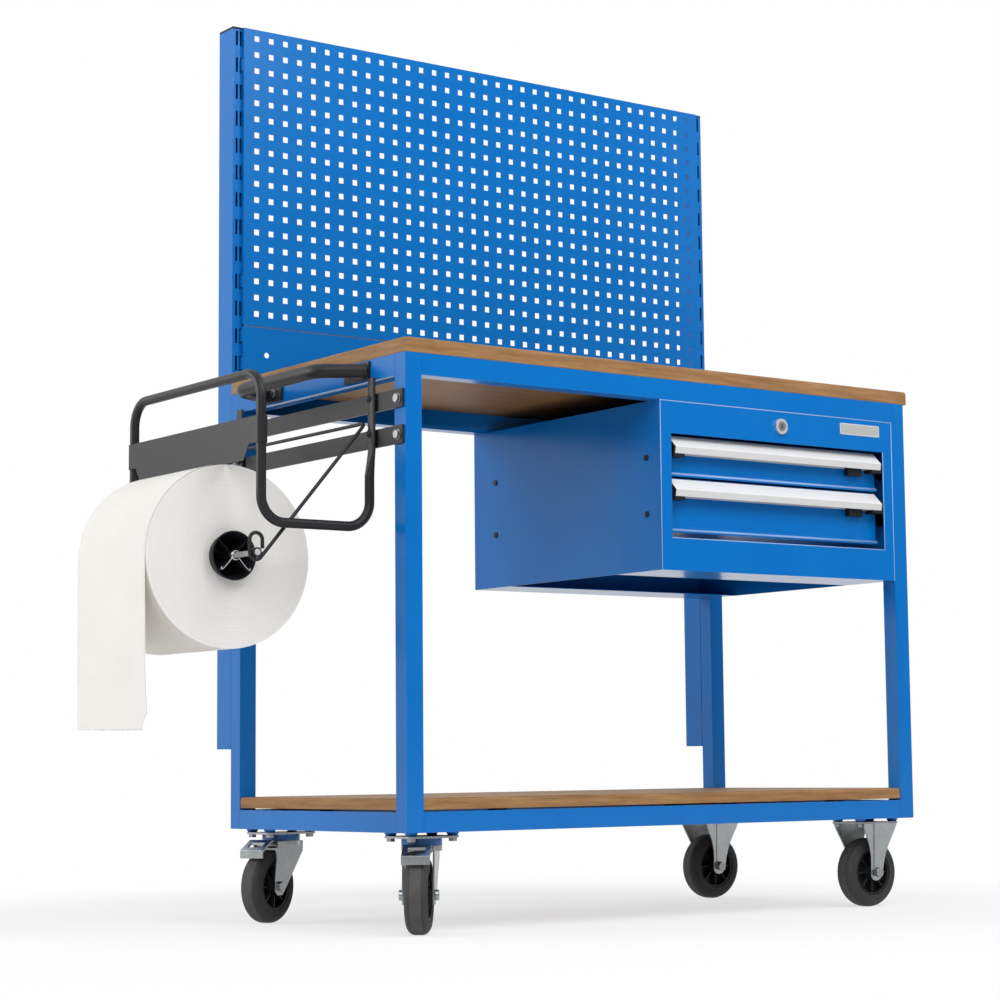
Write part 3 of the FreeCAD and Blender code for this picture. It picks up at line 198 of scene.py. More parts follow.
def makeBluePaint(name="bluePowderCoat", paintedHighlight=0.0):
    paint = Finish(name)
    cloud = paint.noise(*bluePaint["cloud"])
    peel = paint.noise(*bluePaint["peel"])
    speck = paint.noise(*bluePaint["speck"])
    # a share of the paler blue is a painted highlight
    second = bluePaint["paintedHighlight" if paintedHighlight else "light"]
    return paint.surface({
        "Base Color": paint.mixColour(cloud * (1 - paintedHighlight) + paintedHighlight, bluePaint["deep"], second),
        "Roughness": paint.level(bluePaint["gloss"], cloud, speck),
        "Specular IOR Level": bluePaint["specular"],
        "Normal": paint.bump(peel, *bluePaint["bump"])})


wood = {"dark": (0.17, 0.085, 0.036), "mid": (0.285, 0.152, 0.062), "pale": (0.40, 0.226, 0.096),
        "stops": (0.3, 0.5, 0.72), "endTurn": 0.7,
        "broad": (9, 5, (1.2, 14, 14), 0.6), "fine": (60, 4, (1, 24, 24), 0.65),
        "endBroad": (9, 5, (14, 1.2, 14), 0.6), "endFine": (60, 4, (24, 1, 24), 0.65),
        "broadShare": 0.65, "pore": (240, 2, (1, 18, 18)), "poreShare": 0.6,
        "gloss": (0.42, 0.16), "specular": 0.16, "bump": (0.12, 0.5 * mm)}


def makeWood():                            # the grain of the end faces runs across
    board = Finish("oiledMultiplex")
    stops = list(zip(wood["stops"], (wood["dark"], wood["mid"], wood["pale"])))

    def grain(broad, fine):
        streaks = board.noise(*broad).blend(board.noise(*fine), wood["broadShare"])
        return board.ramp(streaks, stops)

    end = board.facing("X").magnitude().above(wood["endTurn"])
    lengthwise = grain(wood["broad"], wood["fine"])
    crosswise = grain(wood["endBroad"], wood["endFine"])
    fibre = board.noise(*wood["fine"])
    pore = board.noise(*wood["pore"])
    return board.surface({
        "Base Color": board.mixColour(end, lengthwise, crosswise),
        "Roughness": board.level(wood["gloss"], fibre),
        "Specular IOR Level": wood["specular"],
        "Normal": board.bump(pore.blend(fibre, wood["poreShare"]), *wood["bump"])})


blackPaint = {"deep": (0.010, 0.010, 0.0115), "light": (0.017, 0.017, 0.019), "cloud": (12, 2),
              "peel": (700, 2), "gloss": (0.36, 0.08), "specular": 0.3, "bump": (0.14, 0.5 * mm)}


def makeBlackPaint():
    paint = Finish("satinBlackCoat")
    peel = paint.noise(*blackPaint["peel"])
    cloud = paint.noise(*blackPaint["cloud"])
    return paint.surface({
        "Base Color": paint.mixColour(cloud, blackPaint["deep"], blackPaint["light"]),
        "Roughness": paint.level(blackPaint["gloss"], cloud),
        "Specular IOR Level": blackPaint["specular"],
        "Normal": paint.bump(peel, *blackPaint["bump"])})


moulding = {"black": (0.006, 0.0065, 0.008), "blackGloss": (0.4, 0.12),
            "rim": (0.009, 0.009, 0.01), "rimGloss": (0.36, 0.12), "paler": 1.5, "lift": 0.004,
            "grain": (1300, 2), "cloud": (30, 2), "specular": 0.22, "bump": (0.2, 0.3 * mm)}


def makeMoulding(name, colour, gloss):
    plastic = Finish(name)
    grain = plastic.noise(*moulding["grain"])
    cloud = plastic.noise(*moulding["cloud"])
    lighter = tuple(channel * moulding["paler"] + moulding["lift"] for channel in colour)
    return plastic.surface({
        "Base Color": plastic.mixColour(cloud, colour, lighter),
        "Roughness": plastic.level(gloss, grain),
        "Specular IOR Level": moulding["specular"],
        "Normal": plastic.bump(grain, *moulding["bump"])})


# the two colours are one aluminium: the darker is painted shade for upright faces, the lighter is
# painted light for sloping ones
aluminium = {"upright": (0.62, 0.622, 0.62), "sloping": (0.86, 0.863, 0.868), "turn": 0.3,
             "drawn": (40, 3, (0.4, 60, 60)), "cloud": (10, 2), "bright": (0.9, 0.2),
             "metallic": 0.2, "gloss": (0.28, 0.14), "bump": (0.05, 0.3 * mm)}


def makeAluminium():                       # painted light: faces that slope upwards get a lighter colour than upright ones
    metal = Finish("anodisedAluminium")
    drawn = metal.noise(*aluminium["drawn"])
    cloud = metal.noise(*aluminium["cloud"])
    # painted light: faces that turn upwards take the lighter colour
    sloping = metal.facing("Z").above(aluminium["turn"]) * metal.level(aluminium["bright"], cloud)
    return metal.surface({
        "Base Color": metal.mixColour(sloping, aluminium["upright"], aluminium["sloping"]),
        "Metallic": aluminium["metallic"],
        "Roughness": metal.level(aluminium["gloss"], drawn),
        "Normal": metal.bump(drawn, *aluminium["bump"])})


zinc = {"dark": (0.27, 0.285, 0.292), "light": (0.45, 0.465, 0.472), "race": (0.0, 0.1, 0.36),
        "raceBelow": (14.6 * mm, 3.7 * mm), "spangle": 130.0, "cloud": (45, 4),
        "gloss": (0.2, 0.14, 0.05), "bump": (0.035, 0.6 * mm)}


def makeZinc(name, race=None):
    metal = Finish(name)
    spangle = metal.add("ShaderNodeTexVoronoi", {"feature": "SMOOTH_F1"},
                        {"Vector": metal.place(), "Scale": zinc["spangle"]})
    cloud = metal.noise(*zinc["cloud"])
    colour = metal.mixColour(cloud, zinc["dark"], zinc["light"])
    metallic = 1.0
    if race:                               # a band at the height of the ball race below each plate is coloured blue and not metal
        blueBand = metal.along("Z").between(*race)
        colour = metal.mixColour(blueBand, colour, zinc["race"])
        metallic = 1.0 - blueBand
    return metal.surface({
        "Base Color": colour, "Metallic": metallic,
        "Roughness": metal.level(zinc["gloss"], cloud, spangle),
        "Normal": metal.bump(cloud, *zinc["bump"])})


def raceHeights():
    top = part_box("swivel_plates")[1].z
    return [top - below for below in zinc["raceBelow"]]


chrome = {"cloud": (80, 3),
          "plate": ((0.55, 0.55, 0.56), (0.68, 0.68, 0.69), (0.12, 0.1)),
          "barrel": ((0.42, 0.42, 0.42), (0.55, 0.55, 0.55), (0.3, 0.1)),
          "collar": ((0.8, 0.8, 0.8), (0.9, 0.9, 0.9), (0.36, 0.1))}


def makeChrome(name, kind):                # each kind is a dark and a light colour and a gloss
    metal = Finish(name)
    dark, light, gloss = chrome[kind]
    cloud = metal.noise(*chrome["cloud"])
    return metal.surface({
        "Base Color": metal.mixColour(cloud, dark, light),
        "Metallic": 1.0, "Roughness": metal.level(gloss, cloud)})


rollAxle = {"dark": (0.6, 0.6, 0.61), "light": (0.75, 0.75, 0.76), "collar": (0.012, 0.012, 0.013),
            "collarFrom": 5 * mm, "metallic": 0.45, "gloss": (0.26, 0.1, 0.15)}


def rollAxis():
    low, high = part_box("roll_axle")
    return (low + high) / 2


def makeCollaredAxle():                    # bright rod with black collars in the eyes
    metal = Finish("collaredAxle")
    collar = metal.reach(rollAxis()).above(rollAxle["collarFrom"])
    cloud = metal.noise(*chrome["cloud"])
    bright = metal.mixColour(cloud, rollAxle["dark"], rollAxle["light"])
    return metal.surface({
        "Base Color": metal.mixColour(collar, bright, rollAxle["collar"]),
        "Metallic": rollAxle["metallic"] - collar * rollAxle["metallic"],
        "Roughness": metal.level(rollAxle["gloss"], cloud, collar)})


rubber = {"side": (0.021, 0.021, 0.023), "sideDusty": (0.05, 0.049, 0.048),
          "tread": (0.040, 0.0385, 0.037), "treadDusty": (0.105, 0.100, 0.092),
          "treadHalf": 9 * mm, "ragged": 4 * mm, "dust": (60, 4), "grain": (900, 2),
          "gloss": (0.58, 0.16, 0.1), "specular": 0.35, "bump": (0.13, 1.2 * mm),
          "turns": {"front_left": math.radians(50), "rear_left": math.radians(26)}}


def wheelAxis(wheel):                      # middle of the tyre and the way its axle points
    low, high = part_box("tyre_" + wheel)
    turn = rubber["turns"].get(wheel, 0.0)
    return (low + high) / 2, Vector((-math.sin(turn), math.cos(turn), 0))


def makeRubber(wheel):
    tyre = Finish("tyreRubber_" + wheel)
    centre, axis = wheelAxis(wheel)
    offset = tyre.vectorMaths("SUBTRACT", (tyre.spot(), centre))
    dust = tyre.noise(*rubber["dust"])
    grain = tyre.noise(*rubber["grain"])
    beside = tyre.vectorMaths("DOT_PRODUCT", (offset, axis), "Value").magnitude()
    edge = beside + dust * rubber["ragged"] - rubber["ragged"] / 2
    tread = edge.below(rubber["treadHalf"])
    side = tyre.mixColour(dust, rubber["side"], rubber["sideDusty"])
    worn = tyre.mixColour(dust, rubber["tread"], rubber["treadDusty"])
    return tyre.surface({
        "Base Color": tyre.mixColour(tread, side, worn),
        "Roughness": tyre.level(rubber["gloss"], dust, tread),
        "Specular IOR Level": rubber["specular"],
        "Normal": tyre.bump(grain, *rubber["bump"])})


paperSheet = {"dull": (0.69, 0.675, 0.64), "clear": (0.80, 0.787, 0.757), "fibre": (420, 3),
              "cloud": (14, 3), "cloudShare": 0.6, "fibreHeight": 0.4, "gloss": (0.78, 0.12),
              "sheen": 0.1, "bump": (0.25, 0.8 * mm)}
paperTurns = {"faceTurn": 0.7, "perMetre": 300, "detail": 6.0, "ends": (0.6, 0.585, 0.56),
              "patch": (9, 4, (1, 0.2, 1), 0.6), "show": (0.25, 0.5), "height": 0.35,
              "outside": (0.83, 0.795, 0.72), "outsideShow": 0.8}


def makePaper(wound):
    paper = Finish("woundPaper" if wound else "hangingPaper")
    fibre = paper.noise(*paperSheet["fibre"])
    cloud = paper.noise(*paperSheet["cloud"])
    tone = cloud.blend(fibre, paperSheet["cloudShare"])
    height = fibre * paperSheet["fibreHeight"]
    colour = paper.mixColour(tone, paperSheet["dull"], paperSheet["clear"])
    if wound:                              # faint rings where the turns end on the roll's face
        turns = paper.add("ShaderNodeTexNoise", {"noise_dimensions": "1D"},
                          {"W": paper.reach(rollAxis()) * paperTurns["perMetre"], "Scale": 1.0,
                           "Detail": paperTurns["detail"]})
        side = paper.facing("Y").magnitude()
        ends = side.above(paperTurns["faceTurn"]) * turns
        outside = side.below(paperTurns["faceTurn"])
        show = paper.level(paperTurns["show"], paper.noise(*paperTurns["patch"]))
        height = height + ends * paperTurns["height"]
        colour = paper.mixColour(ends * show, colour, paperTurns["ends"])
        colour = paper.mixColour(outside * paperTurns["outsideShow"], colour,
                                 paperTurns["outside"])
    return paper.surface({
        "Base Color": colour, "Roughness": paper.level(paperSheet["gloss"], fibre),
        "Sheen Weight": paperSheet["sheen"],
        "Normal": paper.bump(height, *paperSheet["bump"])})


barePlate = {"rim": (0.78, 0.79, 0.79), "dull": (0.5, 0.52, 0.51), "clear": (0.62, 0.64, 0.625),
             "edge": 1.6 * mm, "brushed": (60, 3, (1, 30, 30)), "metallic": 0.5,
             "gloss": (0.3, 0.15), "fieldHeight": 0.6, "brushedHeight": 0.1,
             "bump": (0.3, 0.4 * mm)}


def makeBarePlate():
    plate = Finish("barePlate")
    low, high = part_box("label_plate")
    brushed = plate.noise(*barePlate["brushed"])
    edge = barePlate["edge"]
    inside = plate.along("X").between(low.x + edge, high.x - edge)
    inside = inside * plate.along("Z").between(low.z + edge, high.z - edge)
    field = plate.mixColour(brushed, barePlate["dull"], barePlate["clear"])
    height = inside * barePlate["fieldHeight"] + brushed * barePlate["brushedHeight"]
    return plate.surface({
        "Base Color": plate.mixColour(inside, barePlate["rim"], field),
        "Metallic": barePlate["metallic"],
        "Roughness": plate.level(barePlate["gloss"], brushed),
        "Normal": plate.bump(height, *barePlate["bump"])})


finishes = {                               # by material slot
    "blue_paint": makeBluePaint(),
    "wood": makeWood(),
    "black_paint": makeBlackPaint(),
    "black_plastic": makeMoulding("blackMoulding", moulding["black"], moulding["blackGloss"]),
    "rim_plastic": makeMoulding("rimMoulding", moulding["rim"], moulding["rimGloss"]),
    "aluminium": makeAluminium(),
    "zinc": makeZinc("zincPlate"),
    "drawer_sheet": makeBluePaint("drawerPowderCoat"),
    "bright_steel": makeChrome("brightPlate", "plate"),
    "paper": makePaper(True),
}
ownFinish = {                              # by CAD piece
    "label_plate": makeBarePlate(),
    "swivel_plates": makeZinc("zincPlateRaced", raceHeights()),
    "roll_axle": makeCollaredAxle(),
    "lock_barrel": makeChrome("lockBarrel", "barrel"),
    "lock_collar": makeChrome("lockCollar", "collar"),
}
for wheel in wheels:
    ownFinish["tyre_" + wheel] = makeRubber(wheel)
trimFinish = {                             # for pieces made here
    "hangingPaper": makePaper(False),
    # paler blue beads: a painted highlight along the casing folds and drawer lips
    "foldedEdgeHighlight": makeBluePaint("foldedEdgeHighlight", bluePaint["foldHighlight"]),
    "rolledLipHighlight": makeBluePaint("rolledLipHighlight", bluePaint["lipHighlight"]),
}
print("finishes made:", len(finishes) + len(ownFinish) + len(trimFinish))


# Dress the CAD pieces: finish, merged vertices, softened edges

softEdges = {"merge": 0.01 * mm, "flat": math.radians(0.4), "angle": math.radians(32),
             "width": 0.8 * mm, "fine": 0.3 * mm, "tube": 0.7 * mm, "segments": 2,
             "tubes": ["legs", "top_rails", "bottom_rails", "upright_left", "upright_right"],
             "none": ["perforated_panel", "paper_roll", "holder_hoop", "wire_bracket",
                      "push_handle"],
             "fineNodes": ["lower_panel", "upper_drawer_box", "lower_drawer_box",
                           "upper_handle", "lower_handle", "tear_plate", "lock_collar",
                           "lock_barrel", "label_plate", "cabinet_plugs", "roll_cones",
                           "roll_axle", "upper_drawer_front", "lower_drawer_front"]}


def edgeWidth(name):
    if name in softEdges["tubes"]:
        return softEdges["tube"]
    return softEdges["fine" if name in softEdges["fineNodes"] else "width"]


def soften(piece, name):
    flat = piece.modifiers.new("flat", "DECIMATE")
    flat.decimate_type = "DISSOLVE"
    flat.angle_limit = softEdges["flat"]
    edge = piece.modifiers.new("edge", "BEVEL")
    edge.width = edgeWidth(name)
    edge.segments = softEdges["segments"]
    edge.limit_method = "ANGLE"
    edge.angle_limit = softEdges["angle"]
    edge.use_clamp_overlap = name not in softEdges["tubes"]
    edge.harden_normals = True
    smooth = piece.modifiers.new("smooth", "WEIGHTED_NORMAL")
    smooth.keep_sharp = True


def dress(name, slot):
    piece = nodes[name]
    piece.data.materials.clear()
    piece.data.materials.append(ownFinish.get(name) or finishes[slot])
    for face in piece.data.polygons:
        face.use_smooth = True
    merge = piece.modifiers.new("merge", "WELD")
    merge.merge_threshold = softEdges["merge"]
    if name in softEdges["none"]:
        split = piece.modifiers.new("split", "EDGE_SPLIT")
        split.split_angle = softEdges["angle"]
    else:
        soften(piece, name)


for name, slot in slots.items():
    dress(name, slot)
print("CAD pieces dressed:", len(nodes))


# Ways to make the small pieces

def addPiece(name, mesh, body, material):
    piece = bpy.data.objects.new(name, mesh)
    scene.collection.objects.link(piece)
    mesh.materials.append(material)
    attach(piece, body)
    return piece


def meshFrom(name, build, smooth=True):
    shape = bmesh.new()
    build(shape)
    bmesh.ops.recalc_face_normals(shape, faces=shape.faces)
    mesh = bpy.data.meshes.new(name)
    shape.to_mesh(mesh)
    shape.free()
    for face in mesh.polygons:
        face.use_smooth = smooth
    return mesh


def angles(count):
    return [math.tau * step / count for step in range(count)]


def skin(shape, rings):                    # faces between each ring of points and the next
    for here, there in zip(rings, rings[1:]):
        for index in range(len(here)):
            after = (index + 1) % len(here)
            shape.faces.new((here[index], here[after], there[after], there[index]))


# Hanging end of the paper

tail = {"columns": 48, "rows": 90, "wrap": math.radians(78), "thickness": 0.35 * mm,
        "ripple": 2.2 * mm, "rippleFrom": 120 * mm, "rippleNoise": (9, 5, 3.1),
        "curl": 5 * mm, "curlEase": 0.6, "slant": 4 * mm,
        "ragged": 1.6 * mm, "raggedNoise": (140, 0.4, 7.7), "tornShare": 0.12,
        "tornWidth": 17 * mm, "tornHeight": 24 * mm, "tornCurve": 0.45,
        "flare": 7 * mm, "flareHeight": 90 * mm}


def makeTail():
    low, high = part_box("paper_tail")
    axis = rollAxis()
    outer = axis.x - (low.x + high.x) / 2          # from the roll's middle to the sheet
    width = high.y - low.y
    drop = axis.z - low.z
    wrapLength = outer * tail["wrap"]
    length = wrapLength + drop

    def onRoll(along, y):
        turn = (wrapLength - along) / outer
        return axis.x - outer * math.cos(turn), y, axis.z + outer * math.sin(turn)

    def hanging(fall, y, share, last):
        acrossScale, downScale, seed = tail["rippleNoise"]
        free = min(1.0, fall / tail["rippleFrom"])
        wave = noise.noise(Vector((y * acrossScale, fall * downScale, seed)))
        sway = wave * tail["ripple"] * free
        curl = tail["curl"] * (fall / drop) ** 2 * (1 - tail["curlEase"] * share)
        x = axis.x - outer + abs(sway) + curl
        z = axis.z - fall
        if last:                                   # the torn lower edge
            scale, *seeds = tail["raggedNoise"]
            z += (0.5 + noise.noise(Vector((y * scale, *seeds)))) * tail["ragged"]
            z += tail["slant"] * share
        near = max(0.0, 1 - share / tail["tornShare"])
        lift = (drop - fall) / tail["flareHeight"]
        if lift < 1:                               # the front edge spreads, then is torn off
            y -= tail["flare"] * near * (1 - lift) ** 2
        if fall > drop - tail["tornHeight"]:
            deep = (fall - drop + tail["tornHeight"]) / tail["tornHeight"]
            y += (tail["tornWidth"] + tail["flare"]) * near * deep ** tail["tornCurve"]
        return x, y, z

    def build(shape):
        grid = []
        for row in range(tail["rows"] + 1):
            along = length * row / tail["rows"]
            line = []
            for column in range(tail["columns"] + 1):
                share = column / tail["columns"]
                y = low.y + width * share
                if along < wrapLength:
                    spot = onRoll(along, y)
                else:
                    spot = hanging(along - wrapLength, y, share, row == tail["rows"])
                line.append(shape.verts.new(spot))
            grid.append(line)
        for upper, lower in zip(grid, grid[1:]):
            for index in range(tail["columns"]):
                shape.faces.new((upper[index], upper[index + 1], lower[index + 1], lower[index]))

    piece = addPiece("hangingTail", meshFrom("hangingTail", build), "bench",
                     trimFinish["hangingPaper"])
    thick = piece.modifiers.new("thick", "SOLIDIFY")
    thick.thickness = tail["thickness"]
    thick.offset = 0
    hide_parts("paper_tail")


makeTail()
print("paper tail hung")


# Ribs inside the cones that centre the roll

coneRibs = {"count": 4, "thickness": 1.2 * mm, "depth": 26 * mm, "inner": 8 * mm, "outer": 36 * mm,
            "inset": 4 * mm, "taper": 10 * mm, "turn": math.radians(45)}


def makeConeRibs():
    low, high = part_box("roll_cones")
    axis = rollAxis()

    def rib(shape, middle, depth, angle):
        out = Vector((math.cos(angle), 0, math.sin(angle)))
        across = Vector((-out.z, 0, out.x)) * coneRibs["thickness"] / 2
        start = middle + out * coneRibs["inner"]
        end = middle + out * coneRibs["outer"]
        deepEnd = end + depth - out * coneRibs["taper"]
        corners = [start, end, deepEnd, start + depth]
        front = [shape.verts.new(corner + across) for corner in corners]
        back = [shape.verts.new(corner - across) for corner in corners]
        skin(shape, [front, back])
        shape.faces.new(front)
        shape.faces.new(back[::-1])

    def build(shape):
        for face, inward in ((low.y + coneRibs["inset"], 1), (high.y - coneRibs["inset"], -1)):
            middle = Vector((axis.x, face, axis.z))
            depth = Vector((0, inward * coneRibs["depth"], 0))
            for around in angles(coneRibs["count"]):
                rib(shape, middle, depth, coneRibs["turn"] + around)

    addPiece("coneRibs", meshFrom("coneRibs", build, False), "roll", finishes["black_plastic"])


makeConeRibs()
print("cone ribs set")


# Fine rings moulded on both sides of each tyre

tyreRidges = {"first": 45.6 * mm, "pitch": 2.5 * mm, "count": 4, "radius": 0.8 * mm,
              "sunk": 0.35 * mm, "steps": 84, "sides": 8, "castFrom": 100 * mm}


def makeTyreRidges(wheel):
    centre, axis = wheelAxis(wheel)
    tyre = nodes["tyre_" + wheel]
    surface = BVHTree.FromPolygons(
        [tyre.matrix_world @ vertex.co for vertex in tyre.data.vertices],
        [face.vertices for face in tyre.data.polygons])
    up = Vector((0, 0, 1))
    along = up.cross(axis)
    radius = tyreRidges["radius"]

    def ridge(shape, middle, side, reach):
        rings = []
        for angle in angles(tyreRidges["steps"]):
            out = up * math.cos(angle) + along * math.sin(angle)
            rings.append([shape.verts.new(middle + out * (reach + radius * math.cos(lean))
                                          + side * radius * math.sin(lean))
                          for lean in angles(tyreRidges["sides"])])
        skin(shape, rings + rings[:1])

    def build(shape):
        for side in (axis, -axis):
            for step in range(tyreRidges["count"]):
                reach = tyreRidges["first"] + step * tyreRidges["pitch"]
                beside = centre + up * reach + side * tyreRidges["castFrom"]
                hit = surface.ray_cast(beside, -side)[0]
                height = (hit - centre).dot(side) - tyreRidges["sunk"]
                ridge(shape, centre + side * height, side, reach)

    piece = "tyreRidges_" + wheel
    addPiece(piece, meshFrom(piece, build), "wheel_" + wheel, ownFinish["tyre_" + wheel])


for wheel in wheels:
    makeTyreRidges(wheel)
print("tyre ridges set")


# Wire spring that grips the axle in front of the cone

coneSpring = {"wire": 0.9 * mm, "coil": 7.2 * mm, "turns": 3, "stepsPerTurn": 12,
              "pitch": 2.1 * mm, "leg": 30 * mm, "hook": 4 * mm, "hookTurns": (0.12, 0.06, -0.02),
              "join": 0.3, "proud": 1.5 * mm, "lean": math.radians(48)}


def springPoints():
    axis = rollAxis()
    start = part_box("roll_cones")[0].y - coneSpring["proud"]
    rise = coneSpring["pitch"] * coneSpring["turns"]
    reach = coneSpring["coil"] + coneSpring["leg"]
    firstLeg = -math.pi / 2 + coneSpring["lean"]
    lastLeg = -math.pi / 2 - coneSpring["lean"]
    hooks = list(zip(coneSpring["hookTurns"], (coneSpring["hook"], 0.0, coneSpring["hook"])))
    points = []

    def at(angle, radius, y):
        points.append((axis.x + radius * math.cos(angle), y, axis.z + radius * math.sin(angle)))

    for turn, back in hooks:
        at(firstLeg + turn, reach - back, start)
    steps = coneSpring["stepsPerTurn"] * coneSpring["turns"]
    sweep = coneSpring["turns"] * math.tau - 2 * coneSpring["lean"] - 2 * coneSpring["join"]
    for step in range(steps + 1):
        share = step / steps
        at(firstLeg + coneSpring["join"] + sweep * share, coneSpring["coil"], start - rise * share)
    for turn, back in reversed(hooks):
        at(lastLeg - turn, reach - back, start - rise)
    return points


def makeConeSpring():
    points = springPoints()
    path = bpy.data.curves.new("coneSpring", "CURVE")
    path.dimensions = "3D"
    path.bevel_depth = coneSpring["wire"]
    path.bevel_resolution = 2
    line = path.splines.new("NURBS")
    line.points.add(len(points) - 1)
    for point, spot in zip(line.points, points):
        point.co = (*spot, 1)
    line.order_u = 3
    line.use_endpoint_u = True
    addPiece("coneSpring", path, "bench", finishes["bright_steel"])


makeConeSpring()
print("cone spring set")


# Rounded folds round the casing's front, and the rolled lower edge of each drawer front; their
# paler blue is a painted highlight

casingFolds = {"radius": 0.9 * mm, "sunk": 0.35 * mm, "sides": 10, "stile": 25.0 * mm,
               "header": 58.0 * mm, "opening": 181.5 * mm}
drawerLips = {"radius": 2.6 * mm, "sunk": 2.2 * mm, "sides": 10, "rise": 4.2 * mm}


def bead(shape, start, end, sizes):
    out = Vector((0, -sizes["radius"], 0))
    across = (end - start).normalized().cross(out)
    rings = [[shape.verts.new(spot + across * math.cos(angle) + out * math.sin(angle))
              for angle in angles(sizes["sides"])] for spot in (start, end)]
    skin(shape, rings)
    shape.faces.new(rings[0])
    shape.faces.new(rings[1][::-1])


def makeCasingFolds():
    low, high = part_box("cabinet_casing")
    left, right = low.x + casingFolds["stile"], high.x - casingFolds["stile"]
    top = high.z - casingFolds["header"]
    foot = top - casingFolds["opening"]
    inset = casingFolds["radius"]
    runs = [((low.x, high.z - inset), (high.x, high.z - inset)),
            ((low.x + inset, low.z), (low.x + inset, high.z)),
            ((high.x - inset, low.z), (high.x - inset, high.z)),
            ((left, foot - inset), (right + inset, foot - inset)),
            ((right + inset, foot - inset), (right + inset, top))]

    def build(shape):
        y = low.y + casingFolds["sunk"]
        for (x0, z0), (x1, z1) in runs:
            bead(shape, Vector((x0, y, z0)), Vector((x1, y, z1)), casingFolds)

    addPiece("casingFolds", meshFrom("casingFolds", build), "bench", trimFinish["foldedEdgeHighlight"])


def makeDrawerLip(level):
    drawer = level + "_drawer"
    low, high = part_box(drawer + "_front")
    y = low.y + drawerLips["sunk"]
    z = low.z + drawerLips["rise"]

    def build(shape):
        bead(shape, Vector((low.x, y, z)), Vector((high.x, y, z)), drawerLips)

    piece = "drawerLip_" + level
    addPiece(piece, meshFrom(piece, build), drawer, trimFinish["rolledLipHighlight"])


makeCasingFolds()
for level in ("upper", "lower"):
    makeDrawerLip(level)
print("folds and lips set")


# Button heads on the hoop's flattened ends, and washers under the bolts of the bars

fasteners = {"hoopHead": [(0.0, 4.2), (2.2, 4.2), (2.6, 3.9), (4.6, 3.2), (5.8, 1.9), (6.2, 0.6),
                          (6.2, 0.0)],
             "hoopHeights": (863.5 * mm, 805.7 * mm), "hoopInset": (13.2 * mm, 12.1 * mm),
             "hoopAhead": 7.3 * mm,
             "washer": [(4.4, 0.0), (4.4, 1.5), (8.0, 1.5), (8.5, 1.1), (8.5, 0.0)],
             "washerHeights": (856 * mm, 797 * mm), "washerInset": 13 * mm,
             "sides": 28, "merge": 0.001 * mm}


def lathe(shape, profile, base):           # turned about an axis that points to the left
    rings = [[shape.verts.new(base + Vector((-rise * mm, radius * mm * math.cos(angle),
                                             radius * mm * math.sin(angle))))
              for angle in angles(fasteners["sides"])] for radius, rise in profile]
    skin(shape, rings)
    bmesh.ops.remove_doubles(shape, verts=shape.verts, dist=fasteners["merge"])


def makeFasteners():
    hoopLow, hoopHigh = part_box("holder_hoop")
    barLow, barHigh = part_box("holder_bars")
    front, rear = fasteners["hoopInset"]
    inset = fasteners["washerInset"]

    def heads(shape):
        x = barLow.x - fasteners["hoopAhead"]
        for y in (hoopLow.y + front, hoopHigh.y - rear):
            for z in fasteners["hoopHeights"]:
                lathe(shape, fasteners["hoopHead"], Vector((x, y, z)))

    def washers(shape):
        for y in (barLow.y + inset, barHigh.y - inset):
            for z in fasteners["washerHeights"]:
                lathe(shape, fasteners["washer"], Vector((barLow.x, y, z)))

    addPiece("hoopBoltHeads", meshFrom("hoopBoltHeads", heads), "bench", finishes["black_paint"])
    addPiece("barWashers", meshFrom("barWashers", washers, False), "bench", finishes["zinc"])


makeFasteners()
print("fasteners set")


# Camera at the photograph's viewpoint, in metres in the part's frame

view = {"place": (-2.5468, -3.59677, 0.2663), "ahead": (0.6016, 0.7913, 0.1093),
        "right": (0.7968, -0.6041, -0.0119), "sensor": 36, "lens": 89.142,
        "shift": (-0.0749, -0.0080), "farthest": 100}


def makeCamera():
    camera = bpy.data.objects.new("camera", bpy.data.cameras.new("camera"))
    scene.collection.objects.link(camera)
    ahead = Vector(view["ahead"]).normalized()
    right = Vector(view["right"])
    right = (right - ahead * right.dot(ahead)).normalized()
    above = right.cross(ahead)
    turn = Matrix((right, above, -ahead)).transposed().to_4x4()
    camera.matrix_world = Matrix.Translation(view["place"]) @ turn
    camera.data.sensor_width = view["sensor"]
    camera.data.lens = view["lens"]
    camera.data.shift_x, camera.data.shift_y = view["shift"]
    camera.data.clip_end = view["farthest"]
    scene.camera = camera


makeCamera()
print("camera placed")


# Floor, light and background

studio = {"floorSize": 30, "floorColour": (0.84, 0.84, 0.84, 1), "floorWhite": 0.66,
          "fade": (0.75, 1.65), "white": (1, 1, 1, 1),
          "lamps": [("key", (-3.0, -3.4, 3.5), 2.8, 80), ("left", (-3.6, 2.2, 1.9), 2.2, 75),
                    ("right", (3.9, -1.6, 2.6), 2.6, 26), ("front", (0.4, -2.7, 3.2), 2.0, 66)],
          "aim": (0.1, 0, 1.0), "sky": 0.5, "room": 0.1, "backdrop": (-0.45, 0.35), "rise": 0.8}


def rays(tree, kind):                      # 1 for a ray of this kind
    return addNode(tree, "ShaderNodeLightPath", output="Is " + kind + " Ray")


def mixShader(tree, factor, first, second):
    return addNode(tree, "ShaderNodeMixShader", None, {0: factor, 1: first, 2: second})


def smoothStep(tree, value, start, end, low=0.0, high=1.0):
    return addNode(tree, "ShaderNodeMapRange", {"interpolation_type": "SMOOTHSTEP"},
                   {"Value": value, "From Min": start, "From Max": end,
                    "To Min": low, "To Max": high})


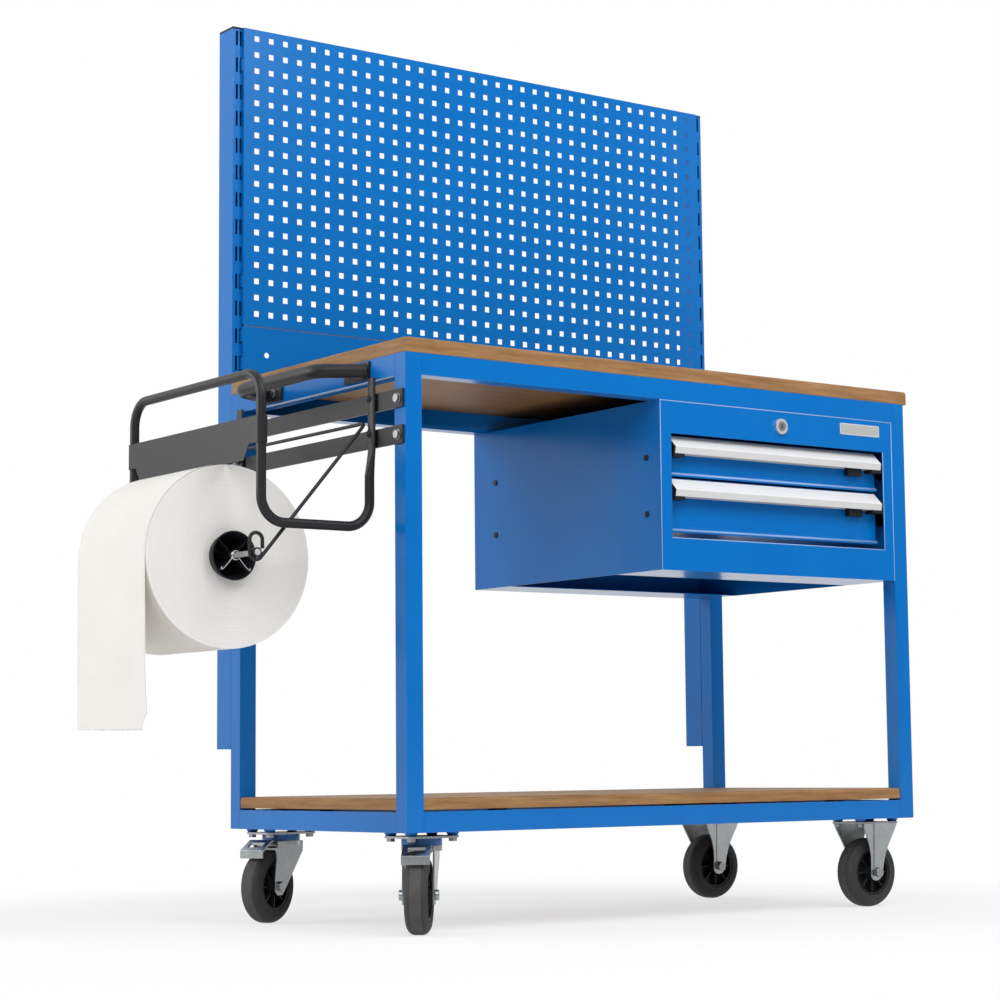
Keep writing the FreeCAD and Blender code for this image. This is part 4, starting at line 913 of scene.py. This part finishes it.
def makeFloor():                           # fades to white away from the object
    size = studio["floorSize"] / 2
    mesh = bpy.data.meshes.new("floor")
    mesh.from_pydata([(-size, -size, 0), (size, -size, 0), (size, size, 0), (-size, size, 0)], [],
                     [(0, 1, 2, 3)])
    floor = bpy.data.objects.new("floor", mesh)
    scene.collection.objects.link(floor)
    ground = Finish("paleFloor")
    tree = ground.tree
    away = ground.vectorMaths("LENGTH", [ground.spot()], "Value")
    fade = smoothStep(tree, away, *studio["fade"], studio["floorWhite"])
    seen = rays(tree, "Camera").most(rays(tree, "Glossy").most(rays(tree, "Transmission")))
    diffuse = ground.add("ShaderNodeBsdfDiffuse", None, {"Color": studio["floorColour"]})
    glow = ground.add("ShaderNodeEmission", None, {"Color": studio["white"], "Strength": 1.0})
    mixed = mixShader(tree, seen * fade, diffuse, glow)
    ground.add("ShaderNodeOutputMaterial", None, {"Surface": mixed})
    mesh.materials.append(ground.material)


def makeLamps():
    for name, place, size, power in studio["lamps"]:
        lamp = bpy.data.lights.new(name, "AREA")
        lamp.size = size
        lamp.energy = power
        holder = bpy.data.objects.new(name, lamp)
        scene.collection.objects.link(holder)
        holder.location = place
        aim = Vector(studio["aim"]) - holder.location
        holder.rotation_euler = aim.to_track_quat("-Z", "Y").to_euler()


def makeWorld():                           # metal sees a dim room in front and white behind
    world = bpy.data.worlds.new("studio")
    scene.world = world
    world.use_nodes = True
    tree = world.node_tree
    tree.nodes.clear()

    def sky(strength):
        return addNode(tree, "ShaderNodeBackground", None,
                       {"Color": studio["white"], "Strength": strength})

    spot = addNode(tree, "ShaderNodeTexCoord", output="Generated")
    back = addNode(tree, "ShaderNodeSeparateXYZ", None, {"Vector": spot}, "Y")
    up = addNode(tree, "ShaderNodeSeparateXYZ", None, {"Vector": spot}, "Z")
    backdrop = smoothStep(tree, back + up * studio["rise"], *studio["backdrop"])
    mirrored = mixShader(tree, backdrop, sky(studio["room"]), sky(1.0))
    plain = mixShader(tree, rays(tree, "Glossy"), sky(studio["sky"]), mirrored)
    seen = rays(tree, "Camera").most(rays(tree, "Transmission"))
    mixed = mixShader(tree, seen, plain, sky(1.0))
    addNode(tree, "ShaderNodeOutputWorld", None, {"Surface": mixed})


makeFloor()
makeLamps()
makeWorld()
scene.view_settings.view_transform = "Standard"
print("studio lit")
